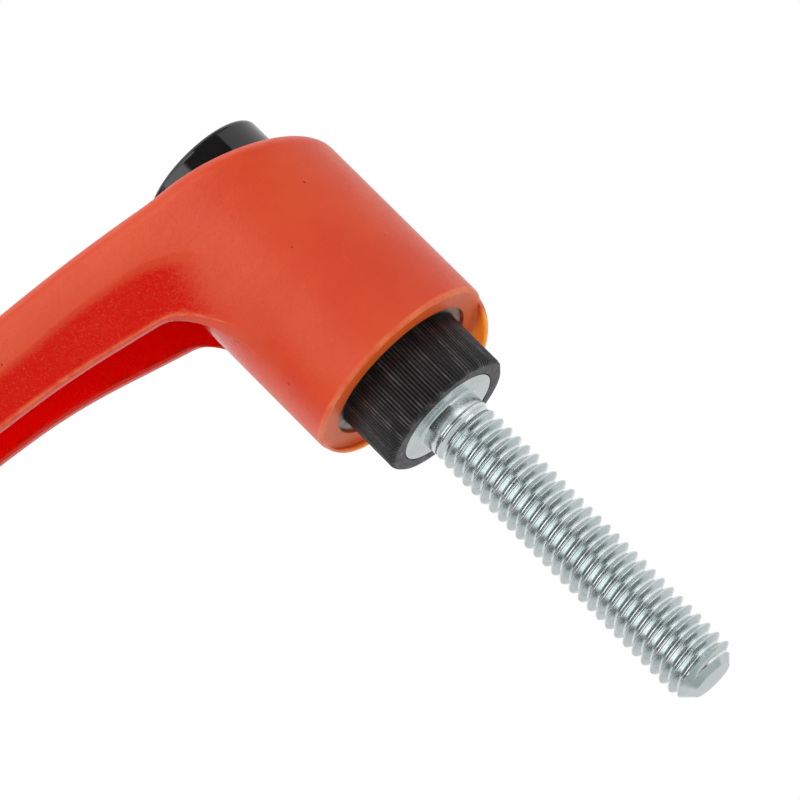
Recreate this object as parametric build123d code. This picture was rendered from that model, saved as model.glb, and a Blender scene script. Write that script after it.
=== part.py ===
from build123d import *
import os
from math import asin, cos, pi, radians, sin, sqrt, tan

# Adjustable clamping lever with a push-button release and a male stud.
#
# The frame stands on the clamping face: the origin is on the stud's axis where the stud leaves the boss,
# +Z runs along the stud's axis towards the button, and +X runs along the arm. Sizes are in millimetres.
#
# The moulded lever rides on the stud's neck. Its toothed ring meshes with the serrated sleeve, and the
# return spring holds them in mesh. Lifting the lever, or pressing the button, brings the ring clear of
# the sleeve, so that the lever turns to a new place without turning the stud.

# ---- stud, boss and serrated sleeve -----------------------------------------------------------------
THREAD_RADIUS = 3.0        # M6, over the crests
STUD_LENGTH = 29.5         # clamping face to the stud's tip
TIP_CHAMFER = 0.9          # on the stud's tip
BOSS_RADIUS = 4.45         # plated disc that shows in the sleeve's end
SLEEVE_RADIUS = 5.82       # over the serrations' crests
SLEEVE_CHAMFER = 0.3       # on both ends of the sleeve
SERRATION_COUNT = 120      # a multiple of twelve
SERRATION_DEPTH = 0.16     # crest to root
NECK_RADIUS = 2.9          # guide for the lever's web and the spring seat

# ---- lever hub --------------------------------------------------------------------------------------
HUB_RADIUS = 8.5
FOOT_HEIGHT = 5.3          # clamping face to the hub's foot
RING_RADIUS = 6.55         # outside of the toothed ring, and the hub's lower bore
RING_RECESS = 0.3          # hub's foot to the ring
WEB_THICKNESS = 1.6        # wall that the neck passes through
LIFT = 4.0                 # travel that takes the ring out of mesh
LIFT_SPARE = 0.3           # part of the travel left once the ring is clear
FOOT_ROUND = 0.35          # on the hub's lower rim
SKIRT_WALL = 0.5           # thin skirt under one side of the hub
SKIRT_DROP = 2.1           # its depth at the deepest place
SKIRT_ANGLE = 250.0        # direction of the deepest place, from +X
SKIRT_SWEEP = 116.0        # angle that it spans

# ---- spring, seat and retaining screw ---------------------------------------------------------------
SEAT_THICKNESS = 0.8
SPRING_LENGTH = 9.0        # as fitted, with the lever down
SPRING_WIRE_RADIUS = 0.4
SPRING_TURNS = 4.5
WIRE_SIDES = 6             # the spring's wire is drawn with flats, to keep its facets few
SCREW_RADIUS = 2.0         # M4
SCREW_DEPTH = 8.0          # screw's length below its head
HEAD_HEIGHT = 2.4
HEAD_RADIUS = 4.9
SOCKET_ACROSS_FLATS = 3.0
SOCKET_DEPTH = 1.5

# ---- push button ------------------------------------------------------------------------------------
BUTTON_RADIUS = 5.58
BUTTON_RISE = 5.5          # screw head to the button's top
BUTTON_TOP_WALL = 1.5
BUTTON_WALL = 1.4          # of the upper part, which rests on the screw head
BUTTON_ROUND = 0.5         # on the top rim
SNAP_DEPTH = 0.5           # of the lip that snaps under the screw head
SNAP_GRIP = 0.12           # reach of that lip under the head

# ---- clearances -------------------------------------------------------------------------------------
MESH_CLEARANCE = 0.04      # between the two sets of serrations
RUNNING_CLEARANCE = 0.07   # radial, web on neck
SEAT_CLEARANCE = 0.10      # radial, spring seat on neck
BUTTON_CLEARANCE = 0.16    # radial, button in the hub
COIL_CLEARANCE = 0.25      # spring to what is outside it

# ---- lever arm --------------------------------------------------------------------------------------
HUB_TOP_DROP = 2.15        # button's top down to the hub's top, on the axis
ARM_SLOPE = 8.4            # degrees, of the straight top and of the parting plane
TOP_ARC_RADIUS = 155.0     # of the top over the hub and the arm's root
TOP_ARC_END = 19.6         # where that arc passes into the straight top
TIP_CENTRE = 58.6          # axis to the centre of the arm's rounded end
TIP_RADIUS = 4.9
WAIST_CENTRE = 23.0
WAIST_RADIUS = 4.4
ROOT_INSET = 0.75          # hub's wall to the circle on the axis that the arm's sides touch
WAIST_BLEND = 60.0         # radius that joins the two stretches of the arm's sides
HUB_BLEND = 7.0            # radius between the arm's sides and the hub
CROWN_RADIUS = 1.6         # along the whole top edge
PARTING_DEPTH = 4.0        # top to the widest line
SIDE_DRAFT = 8.0           # degrees, of the sides below the widest line
FLANGE_WALL = 1.25         # of the two flanges at their lower edges
ROOF_THICKNESS = 1.3       # over the channel
GUSSET_FACE = 6.8          # where the flanges' lower edges turn down to the hub
GUSSET_RADIUS = 4.5
UNDERSIDE_BEND = 20.0      # where the underside becomes parallel to the top
UNDERSIDE_DEPTH = 7.6      # top to the flanges' lower edges, past that bend
UNDERSIDE_ROOT_SLOPE = 16.7  # degrees, between the hub and the bend
UNDERSIDE_BLEND = 60.0

# ---- places that follow from the sizes --------------------------------------------------------------
RING_HEIGHT = LIFT - LIFT_SPARE
RING_BASE = FOOT_HEIGHT + RING_RECESS
SLEEVE_TOP = RING_BASE + RING_HEIGHT
WEB_TOP = SLEEVE_TOP + WEB_THICKNESS
SEAT_TOP = WEB_TOP + SEAT_THICKNESS
HEAD_BASE = SEAT_TOP + SPRING_LENGTH
HEAD_TOP = HEAD_BASE + HEAD_HEIGHT
BUTTON_TOP = HEAD_TOP + BUTTON_RISE
HUB_TOP = BUTTON_TOP - HUB_TOP_DROP
UPPER_BORE_RADIUS = BUTTON_RADIUS + BUTTON_CLEARANCE
SNAP_RADIUS = HEAD_RADIUS - SNAP_GRIP
SPRING_MEAN_RADIUS = SNAP_RADIUS - COIL_CLEARANCE - SPRING_WIRE_RADIUS
ROOT_RADIUS = HUB_RADIUS - ROOT_INSET
ARM_REACH = TIP_CENTRE + TIP_RADIUS
OVERSIZE = 2 * ARM_REACH   # length and width of tools that cut right through
ROOM = OVERSIZE / 2        # height of such tools, and their reach to either side


def tube(outer, inner, bottom, top):
    """A plain ring about the axis."""
    height = top - bottom
    ring = Circle(outer) - Circle(inner)
    return extrude(Plane.XY.offset(bottom) * ring, amount=height)


def rod(radius, bottom, top):
    """A plain cylinder about the axis."""
    return extrude(Plane.XY.offset(bottom) * Circle(radius), amount=top - bottom)


def serration_outline(crest_radius):
    """The closed zigzag of the serrations, with a crest at each whole pitch."""
    points = []
    for index in range(2 * SERRATION_COUNT):
        radius = crest_radius - (index % 2) * SERRATION_DEPTH
        angle = pi * index / SERRATION_COUNT
        points.append((radius * cos(angle), radius * sin(angle)))
    return make_face(Polyline(*points, close=True))


def threaded_stud():
    """Stud, boss and neck in one turned piece; the stud is a plain rod over the thread's crests."""
    stud = rod(THREAD_RADIUS, -STUD_LENGTH, 0)
    stud = chamfer(stud.faces().sort_by(Axis.Z)[0].edges(), TIP_CHAMFER)
    boss = rod(BOSS_RADIUS, 0, SLEEVE_TOP)
    neck = rod(NECK_RADIUS, SLEEVE_TOP, HEAD_BASE)
    tapped_hole = rod(SCREW_RADIUS, HEAD_BASE - SCREW_DEPTH, HEAD_BASE)
    return stud + boss + neck - tapped_hole


def serrated_sleeve():
    """Sleeve pressed on the boss, serrated along its whole length, chamfered at both ends."""
    blank = extrude(serration_outline(SLEEVE_RADIUS), amount=SLEEVE_TOP)
    envelope = rod(SLEEVE_RADIUS, 0, SLEEVE_TOP)
    envelope = chamfer(envelope.edges().filter_by(GeomType.CIRCLE), SLEEVE_CHAMFER)
    return (blank & envelope) - rod(BOSS_RADIUS, 0, SLEEVE_TOP)


def toothed_ring():
    """Metal ring moulded into the hub, with serrations that mesh with the sleeve's."""
    blank = rod(RING_RADIUS, RING_BASE, SLEEVE_TOP)
    opening = serration_outline(SLEEVE_RADIUS + MESH_CLEARANCE)
    return blank - extrude(Plane.XY.offset(RING_BASE) * opening, amount=RING_HEIGHT)


def spring_seat():
    """Thrust washer between the spring and the hub's web."""
    return tube(UPPER_BORE_RADIUS - BUTTON_CLEARANCE, NECK_RADIUS + SEAT_CLEARANCE, WEB_TOP, SEAT_TOP)


def return_spring():
    """Compression spring between the seat and the screw head."""
    wire_length = SPRING_LENGTH - 2 * SPRING_WIRE_RADIUS
    path = Helix(wire_length / SPRING_TURNS, wire_length, SPRING_MEAN_RADIUS)
    start = Plane(origin=path @ 0, z_dir=path % 0)
    coil = sweep(start * RegularPolygon(SPRING_WIRE_RADIUS, WIRE_SIDES), path=path, is_frenet=True)
    return Pos(0, 0, SEAT_TOP + SPRING_WIRE_RADIUS) * coil


def retaining_screw():
    """Flat-headed socket screw that holds the spring and carries the button."""
    shank = rod(SCREW_RADIUS, HEAD_BASE - SCREW_DEPTH, HEAD_BASE)
    head = rod(HEAD_RADIUS, HEAD_BASE, HEAD_TOP)
    hexagon = RegularPolygon(SOCKET_ACROSS_FLATS / 2, 6, major_radius=False)
    socket = extrude(Plane.XY.offset(HEAD_TOP) * hexagon, amount=-SOCKET_DEPTH)
    return shank + head - socket


def push_button():
    """Moulded cap that rests on the screw head and snaps under it."""
    skirt_base = HEAD_BASE - SNAP_DEPTH
    cap = rod(BUTTON_RADIUS, skirt_base, BUTTON_TOP)
    cap = fillet(cap.faces().sort_by(Axis.Z)[-1].edges(), BUTTON_ROUND)
    snap_hole = rod(SNAP_RADIUS, skirt_base, HEAD_BASE)
    head_pocket = rod(HEAD_RADIUS, HEAD_BASE, HEAD_TOP)
    hollow = rod(BUTTON_RADIUS - BUTTON_WALL, HEAD_TOP, BUTTON_TOP - BUTTON_TOP_WALL)
    return cap - snap_hole - head_pocket - hollow


# ---- the lever --------------------------------------------------------------------------------------

def top_arc_centre():
    """Centre, in the XZ plane, of the arc that the top follows over the hub."""
    centre_x = TOP_ARC_END + TOP_ARC_RADIUS * sin(radians(ARM_SLOPE))
    return centre_x, HUB_TOP - sqrt(TOP_ARC_RADIUS ** 2 - centre_x ** 2)


def top_bend():
    """The point where the top's arc passes into the straight top."""
    centre_x, centre_z = top_arc_centre()
    return TOP_ARC_END, centre_z + TOP_ARC_RADIUS * cos(radians(ARM_SLOPE))


def straight_top(x):
    """Height of the straight top, carried on in both directions."""
    bend_x, bend_z = top_bend()
    return bend_z + (x - bend_x) * tan(radians(ARM_SLOPE))


def arm_plane(depth):
    """Plane parallel to the straight top, that far below it, with its local X along the arm."""
    slope = radians(ARM_SLOPE)
    return Plane(
        origin=(0, 0, straight_top(0) - depth / cos(slope)),
        x_dir=(cos(slope), 0, sin(slope)),
        z_dir=(-sin(slope), 0, cos(slope)),
    )


def arm_outline(inset):
    """Plan of the arm, drawn in by inset: two tapers that meet at the waist, and a round end."""
    root, waist, tip = ROOT_RADIUS - inset, WAIST_RADIUS - inset, TIP_RADIUS - inset
    narrowing = asin((root - waist) / WAIST_CENTRE)
    widening = asin((tip - waist) / (TIP_CENTRE - WAIST_CENTRE))
    root_y = root / cos(narrowing)
    tip_x = TIP_CENTRE - tip * sin(widening)
    tip_y = tip * cos(widening)
    fall, rise = tan(narrowing), tan(widening)
    corner_x = (root_y - tip_y + rise * tip_x) / (fall + rise)
    corner_y = root_y - fall * corner_x
    side = Polyline((tip_x, tip_y), (corner_x, corner_y), (0, root_y), (0, -root_y))
    other = Polyline((0, -root_y), (corner_x, -corner_y), (tip_x, -tip_y))
    end = ThreePointArc((tip_x, tip_y), (TIP_CENTRE + tip, 0), (tip_x, -tip_y))
    outline = make_face([*side.edges(), *end.edges(), *other.edges()])
    corners = [vertex for vertex in outline.vertices() if 0 < vertex.X < tip_x - TIP_RADIUS]
    return fillet(corners, WAIST_BLEND)


def top_profile():
    """Side view of all that lies under the lever's top: an arc over the hub, then a straight line."""
    centre_x, centre_z = top_arc_centre()
    bend = top_bend()
    back_x = -HUB_RADIUS - CROWN_RADIUS
    back = (back_x, centre_z + sqrt(TOP_ARC_RADIUS ** 2 - (centre_x - back_x) ** 2))
    middle = (0, HUB_TOP)
    far_end = (OVERSIZE, straight_top(OVERSIZE))
    arc = ThreePointArc(back, middle, bend)
    rest = Polyline(bend, far_end, (OVERSIZE, 0), (back_x, 0), back)
    region = make_face([arc.edge(), *rest.edges()])
    return extrude(Plane.XZ * region, amount=ROOM, both=True)


def underside_tool():
    """All that lies under the arm outside the hub, turned up at the gussets and then sloped."""
    far = (OVERSIZE, straight_top(OVERSIZE) - UNDERSIDE_DEPTH)
    bend = (UNDERSIDE_BEND, straight_top(UNDERSIDE_BEND) - UNDERSIDE_DEPTH)
    fall = (UNDERSIDE_BEND - GUSSET_FACE) * tan(radians(UNDERSIDE_ROOT_SLOPE))
    corner = (GUSSET_FACE, bend[1] - fall)
    gusset_foot = (GUSSET_FACE, corner[1] - GUSSET_RADIUS)
    hub_side = (0, gusset_foot[1])
    below = [(OVERSIZE, 0), (0, 0), hub_side]
    region = make_face(Polyline(gusset_foot, corner, bend, far, *below, close=True))
    region = fillet(region.vertices().sort_by_distance(corner)[0], GUSSET_RADIUS)
    region = fillet(region.vertices().sort_by_distance(bend)[0], UNDERSIDE_BLEND)
    tool = extrude(Plane.XZ * region, amount=ROOM, both=True)
    return tool - rod(HUB_RADIUS, 0, OVERSIZE)


def lever_plan(inset):
    """Plan of the whole lever: the hub's circle, the arm drawn in by inset, and the blends between them."""
    plan = Circle(HUB_RADIUS) + arm_outline(inset)
    inner_corners = [vertex for vertex in plan.vertices() if 0 < vertex.X < HUB_RADIUS]
    return fillet(inner_corners, HUB_BLEND)


def arm_section(depth, inset):
    """Section of the arm on the plane that lies that far below the straight top."""
    column = extrude(lever_plan(inset), amount=ROOM)
    section = (arm_plane(depth) * Rectangle(2 * OVERSIZE, OVERSIZE)) & column
    arm_side = Pos(ROOM + NECK_RADIUS, 0, 0) * Box(OVERSIZE, OVERSIZE, 2 * OVERSIZE)
    return (section & arm_side).face()


def drafted_inset(depth):
    """How far the drafted sides have come in, at that depth below the straight top."""
    return (depth - PARTING_DEPTH) * tan(radians(SIDE_DRAFT))


def channel_tool():
    """The channel between the arm's flanges, up to its roof and outside the hub."""
    plan = arm_outline(drafted_inset(UNDERSIDE_DEPTH) + FLANGE_WALL)
    straight_up = extrude(plan, amount=ROOM)
    roof = extrude(arm_plane(ROOF_THICKNESS) * Rectangle(2 * OVERSIZE, OVERSIZE), amount=-ROOM)
    return (straight_up & roof) - rod(HUB_RADIUS, 0, OVERSIZE)


def lever_body():
    """Hub and arm in one solid: crowned top, sides drafted below the widest line, gussets and channel."""
    column = extrude(lever_plan(0), amount=ROOM)
    parting = arm_plane(PARTING_DEPTH)
    upper = column & extrude(parting * Rectangle(2 * OVERSIZE, OVERSIZE), amount=ROOM)
    lowest = PARTING_DEPTH + UNDERSIDE_DEPTH
    lower = loft([arm_section(PARTING_DEPTH, 0), arm_section(lowest, drafted_inset(lowest))], ruled=True)
    body = (upper + lower + rod(HUB_RADIUS, FOOT_HEIGHT, ROOM)) & top_profile()
    top = body.faces().filter_by(lambda face: face.normal_at().Z > cos(radians(3 * ARM_SLOPE)))
    rim = [edge for face in top for edge in face.edges().filter_by(Axis.Y, reverse=True)]
    return fillet(rim, CROWN_RADIUS) - underside_tool() - channel_tool()


def foot_skirt():
    """Thin skirt that hangs from one side of the hub's foot and tapers away to both ends."""
    direction = radians(SKIRT_ANGLE)
    half_chord = HUB_RADIUS * sin(radians(SKIRT_SWEEP / 2))
    side_view = Plane(
        origin=(0, 0, FOOT_HEIGHT),
        x_dir=(-sin(direction), cos(direction), 0),
        z_dir=(cos(direction), sin(direction), 0),
    )
    lower_edge = ThreePointArc((-half_chord, 0), (0, -SKIRT_DROP), (half_chord, 0))
    rest = Polyline((half_chord, 0), (half_chord, FOOT_ROUND), (-half_chord, FOOT_ROUND), (-half_chord, 0))
    region = make_face([lower_edge.edge(), *rest.edges()])
    wall = tube(HUB_RADIUS, HUB_RADIUS - SKIRT_WALL, FOOT_HEIGHT - SKIRT_DROP, FOOT_HEIGHT + FOOT_ROUND)
    return wall & extrude(side_view * region, amount=OVERSIZE)


def lever():
    """The moulded lever: body, skirt and the stepped bore that holds the ring, the web and the button."""
    body = lever_body()
    foot = body.faces().sort_by(Axis.Z)[0].edges().filter_by(GeomType.CIRCLE)
    body = fillet(foot, FOOT_ROUND) + foot_skirt()
    ring_bore = rod(RING_RADIUS, FOOT_HEIGHT, SLEEVE_TOP)
    web_hole = rod(NECK_RADIUS + RUNNING_CLEARANCE, SLEEVE_TOP, WEB_TOP)
    button_bore = rod(UPPER_BORE_RADIUS, WEB_TOP, ROOM)
    return body - ring_bore - web_hole - button_bore


# ---- every piece, by the name of its file -----------------------------------------------------------
PIECES = {
    "lever": lever,
    "toothed_ring": toothed_ring,
    "serrated_sleeve": serrated_sleeve,
    "threaded_stud": threaded_stud,
    "retaining_screw": retaining_screw,
    "return_spring": return_spring,
    "spring_seat": spring_seat,
    "push_button": push_button,
}

os.makedirs("parts", exist_ok=True)
for name, make in PIECES.items():
    export_step(make(), f"parts/{name}.step")
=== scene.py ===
"""Looks of an adjustable clamping lever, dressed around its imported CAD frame.

Each sub-assembly is a class that computes its surfaces as whole arrays, in metres, and takes its levels and
radii from the frame. The frame's origin is where the stud leaves the boss, +Z runs towards the button and +X
runs along the arm.
"""
import logging
import math
from dataclasses import dataclass, field
from enum import Enum
from typing import Callable

import bmesh
import bpy
import numpy as np
from mathutils import Matrix, Vector


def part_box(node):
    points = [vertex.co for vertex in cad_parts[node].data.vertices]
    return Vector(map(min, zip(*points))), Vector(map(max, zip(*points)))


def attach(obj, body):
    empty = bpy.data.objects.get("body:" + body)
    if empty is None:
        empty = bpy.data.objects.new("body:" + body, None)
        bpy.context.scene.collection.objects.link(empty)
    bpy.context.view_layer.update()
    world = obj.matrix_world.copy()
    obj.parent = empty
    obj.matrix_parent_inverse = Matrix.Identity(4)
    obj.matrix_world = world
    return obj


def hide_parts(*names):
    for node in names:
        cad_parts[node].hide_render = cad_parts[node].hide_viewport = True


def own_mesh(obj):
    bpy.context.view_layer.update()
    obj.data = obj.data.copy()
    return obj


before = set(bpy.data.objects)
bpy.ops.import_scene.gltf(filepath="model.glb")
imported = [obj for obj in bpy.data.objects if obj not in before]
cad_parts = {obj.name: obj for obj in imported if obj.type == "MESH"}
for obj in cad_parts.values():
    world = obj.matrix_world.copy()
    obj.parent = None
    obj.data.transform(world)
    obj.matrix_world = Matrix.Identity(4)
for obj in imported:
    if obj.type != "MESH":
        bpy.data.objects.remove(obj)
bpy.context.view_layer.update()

# Lengths are in metres. Points nearer than WELD become one, and a corner that turns by less than STRAIGHT,
# in radians, is passed through without an arc.
MM = 0.001
WELD = 1e-7
STRAIGHT = 1e-3
log = logging.getLogger("clamping_lever")

Array = np.ndarray
Height = Callable[[Array], Array]


def smooth(value: Array, start: float, end: float) -> Array:
    """Smooth step: 0 before start, 1 after end, and 3t^2 - 2t^3 between them.

    Args:
        value: the running quantity.
        start: where the step begins.
        end: where it ends.

    Returns:
        The step at each value.
    """
    t = np.clip((value - start) / (end - start), 0, 1)
    return t * t * (3 - 2 * t)


def mix(first: Array, second: Array, share: Array) -> Array:
    """Straight blend: first where share is 0 and second where it is 1."""
    return first + (second - first) * share


def quarter(steps: int) -> tuple[Array, Array]:
    """Quarter circle of radius one in equal angles.

    Args:
        steps: number of spans.

    Returns:
        1 - cos and 1 - sin of the angles from 0 to 90 degrees.
    """
    angle = np.linspace(0, math.pi / 2, steps + 1)
    return 1 - np.cos(angle), 1 - np.sin(angle)


def in_space(plan: Array, height: Array) -> Array:
    """Points in space over plan points, at the given heights."""
    return np.concatenate([plan, np.broadcast_to(height, plan.shape[:-1])[..., None]], axis=-1)


def on_circle(radius: Array, angle: Array) -> Array:
    """Plan points at a radius and an angle about the axis."""
    return np.stack([radius * np.cos(angle), radius * np.sin(angle)], axis=-1)


def revolve(profile: Array, angles: Array) -> Array:
    """Turns a profile of (radius, height) rows about the axis, one column for each angle."""
    plan = on_circle(profile[:, :1], angles[None, :])
    return in_space(plan, profile[:, 1:])


def rounded(corners: list[tuple[float, float, float]], steps: int = 5) -> Array:
    """Profile of straight runs whose corners are rounded by tangent arcs.

    An arc of radius r at a turn of angle a starts r * tan(a / 2) before the corner and ends as far after it.

    Args:
        corners: (radius, height, rounding) of each corner, with 0 for a sharp one.
        steps: spans in each arc.

    Returns:
        The profile's (radius, height) rows.
    """
    points = np.array(corners)[:, :2]
    rows = [points[0]]
    for index in range(1, len(corners) - 1):
        rounding = corners[index][2]
        before = points[index - 1] - points[index]
        after = points[index + 1] - points[index]
        before /= np.linalg.norm(before)
        after /= np.linalg.norm(after)
        opening = math.acos(float(np.clip(before @ after, -1, 1)))
        if rounding == 0 or opening > math.pi - STRAIGHT:
            rows.append(points[index])
            continue
        bisector = (before + after) / np.linalg.norm(before + after)
        centre = points[index] + bisector * rounding / math.sin(opening / 2)
        start = points[index] + before * rounding / math.tan(opening / 2) - centre
        end = points[index] + after * rounding / math.tan(opening / 2) - centre
        turn = math.atan2(start[0] * end[1] - start[1] * end[0], float(start @ end))
        for share in np.linspace(0, 1, steps + 1):
            c, s = math.cos(turn * share), math.sin(turn * share)
            rows.append(centre + np.array([c * start[0] - s * start[1], s * start[0] + c * start[1]]))
    rows.append(points[-1])
    return np.array(rows)


def full_turn(count: int) -> Array:
    """Equal angles once round the axis, with the last on the first."""
    return np.linspace(0, 2 * math.pi, count + 1)


# ---- meshes -----------------------------------------------------------------------------------------

@dataclass
class Shell:
    """A surface gathered from grids that share their borders, then welded into one closed mesh.

    Each point carries three marks that the finishes read. edge gives a paler colour: on the lever flash and
    wear, a pale line along the crown and painted highlight lines along edges, on the sleeve worn crests and a
    painted sheen on the end face. thin gives painted light, a paler colour and a glow, where a wall is thin.
    deep gives a smoother gloss and painted shade under the widest line; it goes on to 2 in the channel, where
    it also paints a red glow.
    """

    points: list[Array] = field(default_factory=list)
    faces: list[Array] = field(default_factory=list)
    edge: list[Array] = field(default_factory=list)
    thin: list[Array] = field(default_factory=list)
    deep: list[Array] = field(default_factory=list)
    count: int = 0

    def add(self, grid: Array, edge: Array | float = 0.0, thin: Array | float = 0.0,
            deep: Array | float = 0.0) -> None:
        """Adds a sheet of four-sided faces.

        Args:
            grid: points, shaped (rows, columns, 3).
            edge: the edge mark, one value or one for each point.
            thin: the thin mark, in the same way.
            deep: the deep mark, in the same way.
        """
        rows, columns = grid.shape[:2]
        index = self.count + np.arange(rows * columns).reshape(rows, columns)
        corners = [index[:-1, :-1], index[:-1, 1:], index[1:, 1:], index[1:, :-1]]
        self.faces.append(np.stack(corners, axis=-1).reshape(-1, 4))
        self.points.append(grid.reshape(-1, 3))
        self.edge.append(np.broadcast_to(edge, (rows, columns)).ravel())
        self.thin.append(np.broadcast_to(thin, (rows, columns)).ravel())
        self.deep.append(np.broadcast_to(deep, (rows, columns)).ravel())
        self.count += rows * columns

    def add_both_sides(self, grid: Array, edge: Array | float = 0.0, deep: Array | float = 0.0) -> None:
        """Adds a sheet and its mirror image across the XZ plane.

        Args:
            grid: points on the side of +Y, shaped (rows, columns, 3).
            edge: the edge mark, one value or one for each point.
            deep: the deep mark, in the same way.
        """
        edges = np.broadcast_to(edge, grid.shape[:2])
        deeps = np.broadcast_to(deep, grid.shape[:2])
        self.add(grid, edges, 0.0, deeps)
        self.add(grid[:, ::-1] * np.array([1, -1, 1]), edges[:, ::-1], 0.0, deeps[:, ::-1])

    def build(self, name: str, crease: float = 32.0) -> bpy.types.Object:
        """Welds the sheets into a piece whose faces point outwards.

        Args:
            name: the piece's name.
            crease: angle in degrees past which an edge is shaded sharp.

        Returns:
            The new object, which sits at the origin.
        """
        mesh = bpy.data.meshes.new(name)
        mesh.from_pydata(np.concatenate(self.points).tolist(), [], np.concatenate(self.faces).tolist())
        for label, values in (("edge", self.edge), ("thin", self.thin), ("deep", self.deep)):
            layer = mesh.attributes.new(label, "FLOAT", "POINT")
            layer.data.foreach_set("value", np.concatenate(values).astype(np.float32))
        work = bmesh.new()
        work.from_mesh(mesh)
        bmesh.ops.remove_doubles(work, verts=work.verts, dist=WELD)
        bmesh.ops.dissolve_degenerate(work, edges=work.edges, dist=WELD)
        bmesh.ops.recalc_face_normals(work, faces=work.faces)
        work.to_mesh(mesh)
        open_edges = sum(not edge.is_manifold for edge in work.edges)
        work.free()
        mesh.polygons.foreach_set("use_smooth", np.ones(len(mesh.polygons), bool))
        mesh.set_sharp_from_angle(angle=math.radians(crease))
        piece = bpy.data.objects.new(name, mesh)
        bpy.context.scene.collection.objects.link(piece)
        log.info("%s: %d faces, %d open edges", name, len(mesh.polygons), open_edges)
        return piece


class Body(Enum):
    """The CAD bodies that pieces ride on."""

    FIXED = "root"
    SEAT = "seat"
    TURNING = "lever"


@dataclass(frozen=True)
class Levels:
    """Heights and radii along the axis, read from the frame's nodes; the boss's radius isn't in a box."""

    stud_tip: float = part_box("threaded_stud")[0].z
    boss_radius: float = 4.45 * MM
    sleeve_radius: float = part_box("serrated_sleeve")[1].x
    sleeve_top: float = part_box("serrated_sleeve")[1].z
    neck_top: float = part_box("threaded_stud")[1].z
    ring_radius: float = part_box("toothed_ring")[1].x
    ring_base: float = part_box("toothed_ring")[0].z
    web_top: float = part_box("spring_seat")[0].z
    seat_top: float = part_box("spring_seat")[1].z
    button_radius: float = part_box("push_button")[1].x
    button_base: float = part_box("push_button")[0].z
    button_top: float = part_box("push_button")[1].z
    screw_base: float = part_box("retaining_screw")[0].z
    screw_top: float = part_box("retaining_screw")[1].z
    head_radius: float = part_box("retaining_screw")[1].x
    hub_radius: float = -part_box("lever")[0].x


def place(piece: bpy.types.Object, body: Body, finish: "Finish", node: str) -> None:
    """Rides a piece on its body and CAD node, and gives it its finish.

    Args:
        piece: the finished piece.
        body: the body that it rides on.
        finish: what it is made to look like.
        node: the CAD node that it stands for.
    """
    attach(piece, body.value)
    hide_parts(node)
    piece.data.materials.append(finish.material())
    log.info("%s rides on %s", piece.name, body.value)


# ---- shader node groups -----------------------------------------------------------------------------

@dataclass
class Nodes:
    """A node tree under construction: makes nodes, sets their sockets and links them."""

    tree: bpy.types.NodeTree

    def make(self, kind: str, inputs: dict | None = None, **options: object) -> bpy.types.Node:
        """Adds a node.

        Args:
            kind: the node's class name.
            inputs: socket name or number to a value or to another node's output.
            options: attributes of the node.

        Returns:
            The node.
        """
        node = self.tree.nodes.new(kind)
        for name, value in options.items():
            setattr(node, name, value)
        for key, value in (inputs or {}).items():
            if isinstance(value, bpy.types.NodeSocket):
                self.tree.links.new(value, node.inputs[key])
            else:
                node.inputs[key].default_value = value
        return node

    def math(self, operation: str, first: object, second: object = 0.0) -> bpy.types.NodeSocket:
        """Adds a Math node and returns its value."""
        return self.make("ShaderNodeMath", {0: first, 1: second}, operation=operation).outputs[0]

    def ramp(self, value: object, low: float, high: float, to_low: float = 0.0,
             to_high: float = 1.0) -> bpy.types.NodeSocket:
        """Maps a value smoothly from the range low..high to the range to_low..to_high."""
        inputs = {0: value, 1: low, 2: high, 3: to_low, 4: to_high}
        return self.make("ShaderNodeMapRange", inputs, interpolation_type="SMOOTHSTEP").outputs[0]

    def noise(self, where: object, scale: object, detail: float = 3.0, roughness: float = 0.5,
              distortion: float = 0.0) -> bpy.types.NodeSocket:
        """Adds a noise texture.

        Args:
            where: the coordinates.
            scale: how many of its waves a metre holds.
            detail: how many finer layers it has.
            roughness: the share that each finer layer keeps.
            distortion: how far it is warped.

        Returns:
            The noise's value.
        """
        inputs = {"Vector": where, "Scale": scale, "Detail": detail, "Roughness": roughness,
                  "Distortion": distortion}
        return self.make("ShaderNodeTexNoise", inputs).outputs[0]

    def stretch(self, where: object, factors: object) -> bpy.types.NodeSocket:
        """Multiplies coordinates by a factor for each direction and returns the result."""
        return self.make("ShaderNodeVectorMath", {0: where, 1: factors}, operation="MULTIPLY").outputs[0]

    def blend(self, share: object, first: object, second: object, way: str = "MIX") -> bpy.types.NodeSocket:
        """Mixes two colours and returns the result."""
        inputs = {0: share, 6: first, 7: second}
        return self.make("ShaderNodeMix", inputs, data_type="RGBA", blend_type=way).outputs[2]


class Effect(Enum):
    """The shared node groups: what each puts out follows the surface's own coordinates."""

    GRAIN = "moulded_grain"
    MOTTLE = "mottle"
    RINGS = "turning_rings"
    SCUFFS = "scuffs"


def group_tree(effect: Effect, inputs: dict[str, float], outputs: list[str]) -> Nodes:
    """Starts a shader node group with float inputs, one Vector input and float outputs.

    Args:
        effect: which of the shared groups it is.
        inputs: name to default value of each float input.
        outputs: names of the float outputs.

    Returns:
        The group's nodes, which are still to be made.
    """
    tree = bpy.data.node_groups.new(effect.value, "ShaderNodeTree")
    tree.interface.new_socket("Vector", in_out="INPUT", socket_type="NodeSocketVector")
    for name, value in inputs.items():
        socket = tree.interface.new_socket(name, in_out="INPUT", socket_type="NodeSocketFloat")
        socket.default_value = value
    for name in outputs:
        tree.interface.new_socket(name, in_out="OUTPUT", socket_type="NodeSocketFloat")
    return Nodes(tree)


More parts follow.
